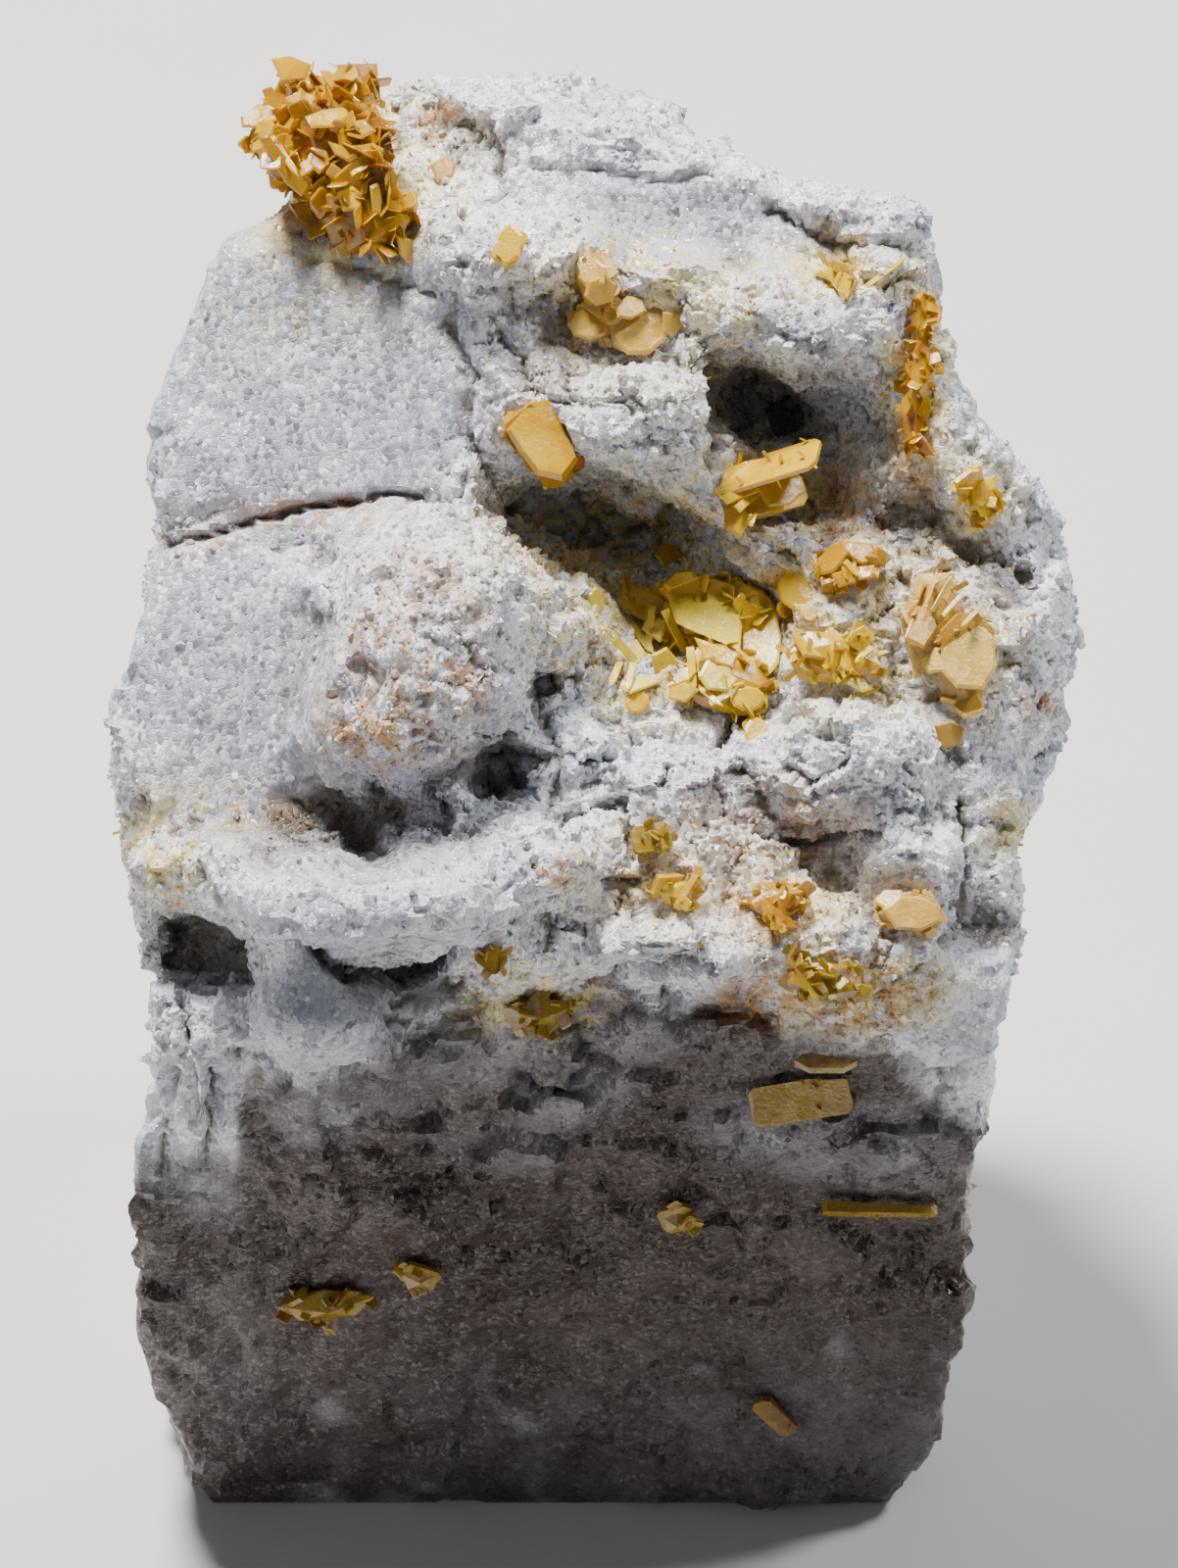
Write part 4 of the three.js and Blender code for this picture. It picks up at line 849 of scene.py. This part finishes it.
def add_plate(work, outline, lift, looks, thick, tint, depth=None):
    tints = work.verts.layers.float.get("tint") or work.verts.layers.float.new("tint")
    middle = np.mean(outline, axis=0)
    ground = ground_tree.ray_cast(eye, sight(middle))[0]
    if ground is None:
        ground = ground_tree.find_nearest(eye + EYE_DISTANCE * sight(middle))[0]
    if depth is not None:
        ground = eye - sight(middle) * (EYE_DISTANCE - depth) / sight(middle).z
    centre = ground - PLATE_LIFT * lift * sight(middle)
    out = Vector(looks).normalized()
    seen = [eye + sight(p) * (centre - eye).dot(out) / sight(p).dot(out) for p in outline]
    centre = sum(seen, Vector()) / len(seen)

    def ring(share, height):
        places = [centre + share * (p - centre) + height * out for p in seen]
        verts = [work.verts.new(face_to_world_mm @ place) for place in places]
        for vert in verts:
            vert[tints] = tint
        return verts

    rim = 1 - min(0.2, 0.14 / max((p - centre).length for p in seen) + 0.04)
    low, mid, high = ring(rim, -thick), ring(1, 0), ring(rim, thick)
    turns_left = sum(
        (a - centre).cross(b - centre).dot(out) for a, b in zip(seen, seen[1:] + seen[:1])
    ) > 0
    made = []
    for k in range(len(seen)):
        after = (k + 1) % len(seen)
        made.append(work.faces.new((low[k], low[after], mid[after], mid[k])))
        made.append(work.faces.new((mid[k], mid[after], high[after], high[k])))
    made += [work.faces.new(low[::-1]), work.faces.new(high)]
    if not turns_left:
        bmesh.ops.reverse_faces(work, faces=made)


face_to_world_mm = Matrix.Scale(MM, 4) @ Matrix.Translation(FACE_MIDDLE) @ face_to_world.to_3x3().to_4x4()


def blade_outline(start, end, width):
    """A pointed blade between two pixels."""
    start, end = Vector(start), Vector(end)
    side = (end - start).orthogonal().normalized() * width / 2
    far = start.lerp(end, 0.8)
    return [tuple(p) for p in (start - side, far - side, end, far + side, start + side)]


def round_outline(middle, across, tall, corners=11):
    turns = [2 * math.pi * (k + 0.3) / corners for k in range(corners)]
    return [(middle[0] + across * math.cos(t), middle[1] + tall * math.sin(t)) for t in turns]


# %% The single crystals: tint from deep 0 to pale 1, lift over the rock, tilt, outline
TILTS = [(0.1, 0.22, 1), (-0.5, 0.3, 1), (0.4, 0.35, 1), (0.7, -0.1, 0.9), (-0.35, 0.6, 0.9), (0.1, 0.7, 0.8)]
DEPTHS = {"vug_blade": 1.0}
THICK = {"stout_crystal": 0.55}
PLATE_THICK, ROUND_THICK, BLADE_THICK = 0.09, 0.1, 0.05
PLATES = {
    "cap_cluster": [
        (0.62, 1.2, 4, "245,120 262,108 283,106 286,122 262,131 247,130"),
        (0.70, 1.4, 5, "311,119 330,112 352,109 358,119 340,130 318,131"),
        (0.62, 1.3, 0, "334,144 350,150 380,146 392,152 386,166 360,168 342,158"),
        (0.42, 1.0, 3, "262,138 272,136 316,190 308,201 292,188"),
        (0.82, 1.2, 2, "306,184 318,178 338,182 344,196 330,207 312,202"),
        (0.86, 1.1, 0, "343,196 360,190 370,198 368,214 350,216"),
        (0.60, 1.0, 3, "377,190 386,186 390,204 388,220 380,216"),
        (0.10, 0.9, 1, "294,208 312,206 334,214 336,226 322,238 304,224"),
        (0.35, 1.2, 2, "318,150 334,152 338,168 326,178 312,168"),
        (0.50, 1.2, 4, "290,100 306,92 322,98 316,112 298,114"),
        (0.40, 1.1, 5, "352,126 372,122 384,134 368,142 354,138"),
        (0.55, 1.0, 1, "276,60 296,57 318,66 312,82 288,84"),
        (0.75, 0.9, 3, "404,240 420,244 430,262 420,272 408,260"),
        (0.55, 0.9, 2, "438,168 452,160 466,166 462,180 446,186"),
    ],
    "vug_cluster": [
        (1.00, 1.9, 5, "680,606 692,597 712,590 731,586 750,588 757,602 "
         "757,640 755,664 735,655 712,646 690,636"),
        (0.78, 1.5, 4, "754,594 772,602 790,616 797,650 795,676 784,690 768,688 757,672 756,630"),
        # The plate under the leaf gets a deep tint as painted shade.
        (0.12, 1.2, 5, "708,650 755,667 748,682 720,674"),
        (0.35, 1.3, 2, "668,566 676,554 690,557 707,577 700,587 684,590"),
        (0.42, 1.1, 1, "676,597 690,584 708,583 712,590 700,596 684,602"),
        (0.90, 1.0, 2, "722,672 738,684 754,693 744,706 722,704 712,690"),
        (0.85, 1.0, 4, "654,642 663,626 682,634 674,656"),
        (0.90, 1.0, 5, "632,702 650,690 668,690 674,697 644,708"),
        (0.80, 0.9, 1, "684,702 698,696 714,704 700,717 682,713"),
        (0.75, 1.0, 2, "636,664 650,652 660,668 648,682"),
        (0.70, 1.1, 3, "664,668 680,660 694,676 682,692 668,686"),
    ],
    "stout_crystal": [
        (0.75, 0.9, 0, "516,440 538,410 560,406 572,430 590,470 574,491 548,485 530,462"),
    ],
    "vug_blade": [
        (0.40, 0.5, 0, "735,507 762,489 800,466 826,448 832,452 822,463 800,486 772,503 742,515"),
        (0.25, 0.3, 2, "770,498 792,488 818,486 823,500 806,515 784,517"),
        (0.20, 0.3, 1, "738,520 756,512 768,526 756,548 740,540"),
    ],
    "slope_rosette": [
        (0.55, 0.8, 1, "592,268 606,262 618,272 616,290 600,296 590,284"),
        (0.25, 1.0, 3, "600,286 616,280 630,290 626,308 608,312 596,302"),
        (0.60, 0.8, 2, "612,262 626,264 632,280 620,288"),
        (0.50, 0.8, 0, "579,330 584,318 600,312 616,316 625,328 618,342 600,347 586,343"),
        (0.62, 1.0, 0, "622,330 630,312 650,304 672,308 684,324 680,346 662,362 640,362 626,350"),
        (0.52, 1.2, 2, "628,312 640,302 656,304 660,318 644,326 630,324"),
        (0.60, 0.9, 3, "676,318 692,318 698,334 686,344 676,338"),
    ],
    "crest_fleck": [(0.50, 0.5, 1, "504,262 508,238 522,228 534,240 530,262 516,272")],
    "saddle_plates": [
        (0.45, 1.0, 1, "833,572 848,556 862,550 868,562 852,584 838,587"),
        (0.65, 1.2, 2, "866,552 890,555 896,570 880,577 864,567"),
        (0.30, 1.0, 0, "848,586 866,580 874,594 856,600"),
        (0.55, 1.1, 3, "894,556 906,564 903,580 892,574"),
        (0.10, 0.8, 4, "876,578 892,576 890,590 876,592"),
    ],
    "shoulder_crust": [
        (0.95, 0.9, 0, "960,662 974,642 998,634 1014,650 1017,680 1003,704 976,702 962,686"),
        (0.30, 0.9, 2, "922,652 934,620 950,611 957,640 942,662"),
        (1.00, 1.0, 1, "938,673 955,660 969,668 966,685 947,687"),
        (0.20, 0.8, 3, "953,740 968,735 985,742 980,760 960,764"),
        (0.60, 0.8, 4, "976,706 1000,708 1006,726 984,734 972,722"),
    ],
    "lip_nugget": [
        (0.55, 0.9, 0, "900,928 916,916 938,914 958,924 960,940 940,950 914,948"),
        (0.70, 1.1, 4, "890,920 902,908 920,908 924,920 906,930"),
    ],
    "slope_blades": [
        (0.85, 0.8, 2, "858,684 872,688 892,703 880,707 862,697"),
        (0.75, 0.8, 1, "884,676 906,683 902,692 884,686"),
        (0.35, 0.8, 3, "849,664 859,668 857,682 847,678"),
    ],
}
ROUNDS = {
    "vug_cluster": [
        (0.40, 1.6, 1, (817, 599), 25, 25), (0.12, 1.2, 3, (804, 621), 12, 11),
        (0.2, 1.0, 2, (826, 628), 9, 7),
        (0.30, 0.8, 0, (650, 716), 13, 13), (0.40, 0.8, 0, (763, 713), 18, 13),
        (0.50, 0.7, 2, (772, 748), 13, 16),
        (0.75, 0.9, 3, (608, 613), 9, 15), (0.15, 0.7, 1, (786, 700), 9, 8),
    ],
}
BLADES = {
    "cap_cluster": [(1, 2.2, 2, (277, 139), (305, 181), 7), (1, 1.6, 4, (358, 178), (376, 168), 5)],
    "vug_cluster": [
        (0.9, 1.3, 3, (626, 650), (662, 690), 9), (0.8, 1.4, 4, (642, 634), (668, 668), 8),
        (0.9, 1.4, 1, (666, 618), (660, 668), 8), (0.9, 1.3, 3, (678, 622), (702, 670), 9),
        (0.8, 1.2, 1, (704, 660), (708, 708), 8), (1.0, 1.3, 4, (704, 694), (738, 721), 6),
        (0.8, 1.2, 5, (634, 672), (622, 700), 8), (0.9, 1.3, 2, (716, 688), (712, 660), 6),
        (1.0, 1.0, 2, (724, 718), (760, 700), 6), (0.7, 1.2, 4, (646, 676), (640, 706), 7),
        (0.9, 1.2, 3, (692, 640), (684, 676), 8), (1.0, 1.0, 0, (848, 640), (849, 668), 5),
    ],
    "saddle_plates": [(1, 1.4, 1, (862, 572), (878, 589), 6)],
    "slope_blades": [
        (1, 0.9, 4, (868, 712), (900, 700), 6), (0.9, 0.8, 5, (890, 660), (872, 676), 6),
        (0.8, 0.8, 2, (806, 672), (830, 684), 7), (0.9, 0.8, 3, (884, 640), (866, 650), 6),
    ],
    "shoulder_crust": [
        (1, 1, 2, (943, 622), (957, 580), 4), (1, 1, 3, (951, 624), (972, 586), 4),
        (1, 1, 1, (936, 612), (943, 588), 4),
        (0.9, 1, 4, (962, 628), (984, 604), 5), (1, 1, 2, (930, 640), (918, 618), 5),
        (1, 0.9, 5, (1000, 620), (980, 640), 5),
    ],
    "crest_blades": [
        (0.8, 0.6, 2, (838, 272), (862, 296), 9), (0.9, 0.7, 4, (864, 300), (904, 288), 8),
        (0.9, 0.7, 1, (884, 292), (926, 262), 5), (0.7, 0.6, 3, (846, 268), (872, 276), 9),
    ],
    "vug_blade": [(0.5, 0.6, 2, (752, 520), (790, 486), 9), (0.3, 0.6, 4, (764, 536), (776, 512), 8)],
}


def add_singles(mesh, node):
    work = bmesh.new()
    work.from_mesh(mesh)
    for tint, lift, tilt, text in PLATES.get(node, []):
        outline = [tuple(map(float, pair.split(","))) for pair in text.split()]
        thick = THICK.get(node, PLATE_THICK)
        add_plate(work, outline, lift, TILTS[tilt], thick, tint, DEPTHS.get(node))
    for tint, lift, tilt, middle, across, tall in ROUNDS.get(node, []):
        add_plate(work, round_outline(middle, across, tall), lift, TILTS[tilt], ROUND_THICK, tint)
    for tint, lift, tilt, start, end, width in BLADES.get(node, []):
        outline = blade_outline(start, end, width)
        add_plate(work, outline, lift, TILTS[tilt], BLADE_THICK, tint, DEPTHS.get(node))
    work.to_mesh(mesh)
    work.free()


# %% [markdown]
# ## Dressing the clusters
# Each cluster starts as its solid with the rims bevelled. The strewing tree then grows small
# tablets on it, mostly standing on edge as wulfenite does, and the single crystals go on top.

# %% Which crystals grow on which cluster: finish, shape, tablets per square mm, least and most size
UPRIGHT = math.pi / 2
CLUSTER_DRESS = {
    "cap_cluster": ("wulfenite_orange", square_tablet, 2.2, 0.2, 0.62),
    "vug_cluster": ("wulfenite_yellow", square_tablet, 1.8, 0.15, 0.5),
    "stout_crystal": ("wulfenite_orange", square_tablet, 3, 0.05, 0.14),
    "vug_blade": ("wulfenite_yellow", blade_tablet, 0.4, 0.15, 0.3),
    "slope_rosette": ("wulfenite_tan", square_tablet, 0.8, 0.15, 0.35),
    "crest_fleck": ("wulfenite_yellow", square_tablet, 0.6, 0.15, 0.3),
    "crest_blades": ("wulfenite_yellow", blade_tablet, 1.2, 0.15, 0.4),
    "groove_crust": ("wulfenite_orange", square_tablet, 3, 0.12, 0.36),
    "saddle_plates": ("wulfenite_orange", square_tablet, 1, 0.15, 0.4),
    "slope_blades": ("wulfenite_yellow", blade_tablet, 1.4, 0.15, 0.45),
    "shoulder_crust": ("wulfenite_tan", blade_tablet, 0.6, 0.12, 0.35),
    "shoulder_tip_cluster": ("wulfenite_yellow", square_tablet, 1.8, 0.15, 0.4),
    "slope_knot": ("wulfenite_olive", square_tablet, 1.8, 0.15, 0.4),
    "slope_flecks": ("wulfenite_yellow", square_tablet, 2, 0.15, 0.35),
    "lip_crust": ("wulfenite_orange", square_tablet, 2.4, 0.15, 0.4),
    "lip_nugget": ("wulfenite_tan", square_tablet, 0.6, 0.1, 0.3),
    "brow_crust": ("wulfenite_olive", square_tablet, 2.2, 0.15, 0.45),
    "ledge_cluster": ("wulfenite_olive", square_tablet, 1.6, 0.15, 0.5),
    "ledge_tip_crystals": ("wulfenite_olive", square_tablet, 1.4, 0.15, 0.4),
    "front_sliver": ("wulfenite_olive", square_tablet, 0.2, 0.1, 0.2),
    "front_plate": ("wulfenite_olive", square_tablet, 0.2, 0.1, 0.2),
    "front_rod": ("wulfenite_olive", square_tablet, 0.2, 0.1, 0.2),
    "front_knot_upper": ("wulfenite_olive", square_tablet, 1.4, 0.15, 0.4),
    "front_crust_left": ("wulfenite_olive", square_tablet, 1.4, 0.15, 0.4),
    "front_crust_middle": ("wulfenite_olive", square_tablet, 1.4, 0.15, 0.4),
    "front_chip": ("wulfenite_olive", square_tablet, 0.3, 0.1, 0.3),
}
for number, (node, (finish, shape, density, least, most)) in enumerate(CLUSTER_DRESS.items()):
    base = merged_copy(node, node + "_base")
    rim = base.modifiers.new("rim", "BEVEL")
    rim.width = 0.04 * MM
    rim.segments = 1
    rim.limit_method = "ANGLE"
    rim.angle_limit = math.radians(40)
    settled(base)
    spots = np.array([v.co for v in base.data.vertices]) / MM
    # The solid under the tablets keeps a low tint, so the gaps between them read darker: painted shade.
    store_map(base.data, "tint", np.array([0.3 + 0.3 * noise.cell(Vector(spot) / 1.1) for spot in spots]))
    base.data.materials.clear()
    base.data.materials.append(finishes[finish])
    cluster = strewn(
        base, node + "_crystals", Shape=shape, Per_square_mm=density, Apart=0.00025, Least_size=least,
        Most_size=most, Lean=0.5, Stand=UPRIGHT, Seed=number + 11, Keep_base=True, Finish=finishes[finish],
    )
    bpy.data.objects.remove(base)
    add_singles(cluster.data, node)
    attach(cluster, "root")
    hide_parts(node)
    print(node, len(cluster.data.polygons), "faces")

# %% Dust-fine blades on the rock round the clusters
dust_base = rock.data.attributes["yellow_dust"]
dust = np.empty(len(rock.data.vertices), dtype=np.float32)
dust_base.data.foreach_get("value", dust)
blotchy = np.array([noise.noise(Vector(place) / 1.4) for place in sugar_places])
store_map(rock.data, "dusty", dust * np.clip(0.15 + 1.6 * blotchy, 0, 1) * open_ground)
dust_blades = strewn(
    rock, "dust_blades", "dusty", Shape=blade_tablet, Per_square_mm=4.5, Apart=0.0002,
    Least_size=0.05, Most_size=0.16, Lean=0.9, Stand=UPRIGHT, Seed=8, Finish=finishes["wulfenite_yellow"],
)
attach(dust_blades, "root")
print("dust blades:", len(dust_blades.data.polygons), "faces")
for shape in (crumb_shape, grain_shape, square_tablet, blade_tablet):
    bpy.data.objects.remove(shape)

# %% [markdown]
# ## Floor, light and camera
# The specimen stands on a plain pale floor. One soft light above and a little behind it lights
# the crystal side and leaves the lower front in shade. A small one from the right puts glints on
# the grains, and a weak one fills from the left.

# %% The floor
floor_mesh = bpy.data.meshes.new("floor")
half = 1.5
floor_mesh.from_pydata(
    [(-half, -half, 0), (half, -half, 0), (half, half, 0), (-half, half, 0)], [], [(0, 1, 2, 3)]
)
floor = piece_from(floor_mesh, "floor")
paper, tree = new_material("pale_floor")
spot = tree.add("ShaderNodeTexCoord").outputs["Object"]
tone = tree.mix(tree.noise(spot, 60.0, 4.0), (0.66, 0.65, 0.64, 1), (0.70, 0.69, 0.68, 1))
shader = tree.add("ShaderNodeBsdfPrincipled", {"Base Color": tone, "Roughness": 0.8})
tree.tree.links.new(shader.outputs[0], tree.add("ShaderNodeOutputMaterial").inputs["Surface"])
floor_mesh.materials.append(paper)


# %% The lights
def soft_light(name, place, aim, size, power, colour):
    data = bpy.data.lights.new(name, "AREA")
    data.shape = "DISK"
    data.size = size
    data.energy = power
    data.color = colour
    lamp = bpy.data.objects.new(name, data)
    lamp.location = place
    lamp.rotation_euler = (Vector(aim) - Vector(place)).to_track_quat("-Z", "Y").to_euler()
    bpy.context.collection.objects.link(lamp)


middle = (0, 0, 0.045)
soft_light("key", (-0.10, 0.12, 0.46), middle, 0.12, 6.2, (1.0, 0.97, 0.93))
soft_light("sparkle", (0.24, 0.04, 0.36), middle, 0.05, 1.1, (0.95, 0.97, 1.0))
soft_light("fill", (-0.35, -0.35, 0.25), middle, 0.3, 0.3, (0.92, 0.95, 1.0))
world = bpy.data.worlds.new("studio")
world.use_nodes = True
world.node_tree.nodes["Background"].inputs["Color"].default_value = (0.8, 0.85, 0.92, 1)
world.node_tree.nodes["Background"].inputs["Strength"].default_value = 0.13
bpy.context.scene.world = world

# %% The camera looks straight at the crystal face, as the photographer did
camera_data = bpy.data.cameras.new("camera")
camera_data.lens = 202.5
camera_data.sensor_width = 36
camera_data.clip_start = 0.01
camera = bpy.data.objects.new("camera", camera_data)
camera.matrix_world = face_to_world.normalized()
camera.location = (face_to_world @ Vector((0, 0, EYE_DISTANCE))) * MM
camera.rotation_euler = (math.pi / 2 - FACE_LOOKS_UP, 0, 0)
bpy.context.collection.objects.link(camera)
bpy.context.scene.camera = camera
print("camera at", [round(x / MM, 1) for x in camera.location])
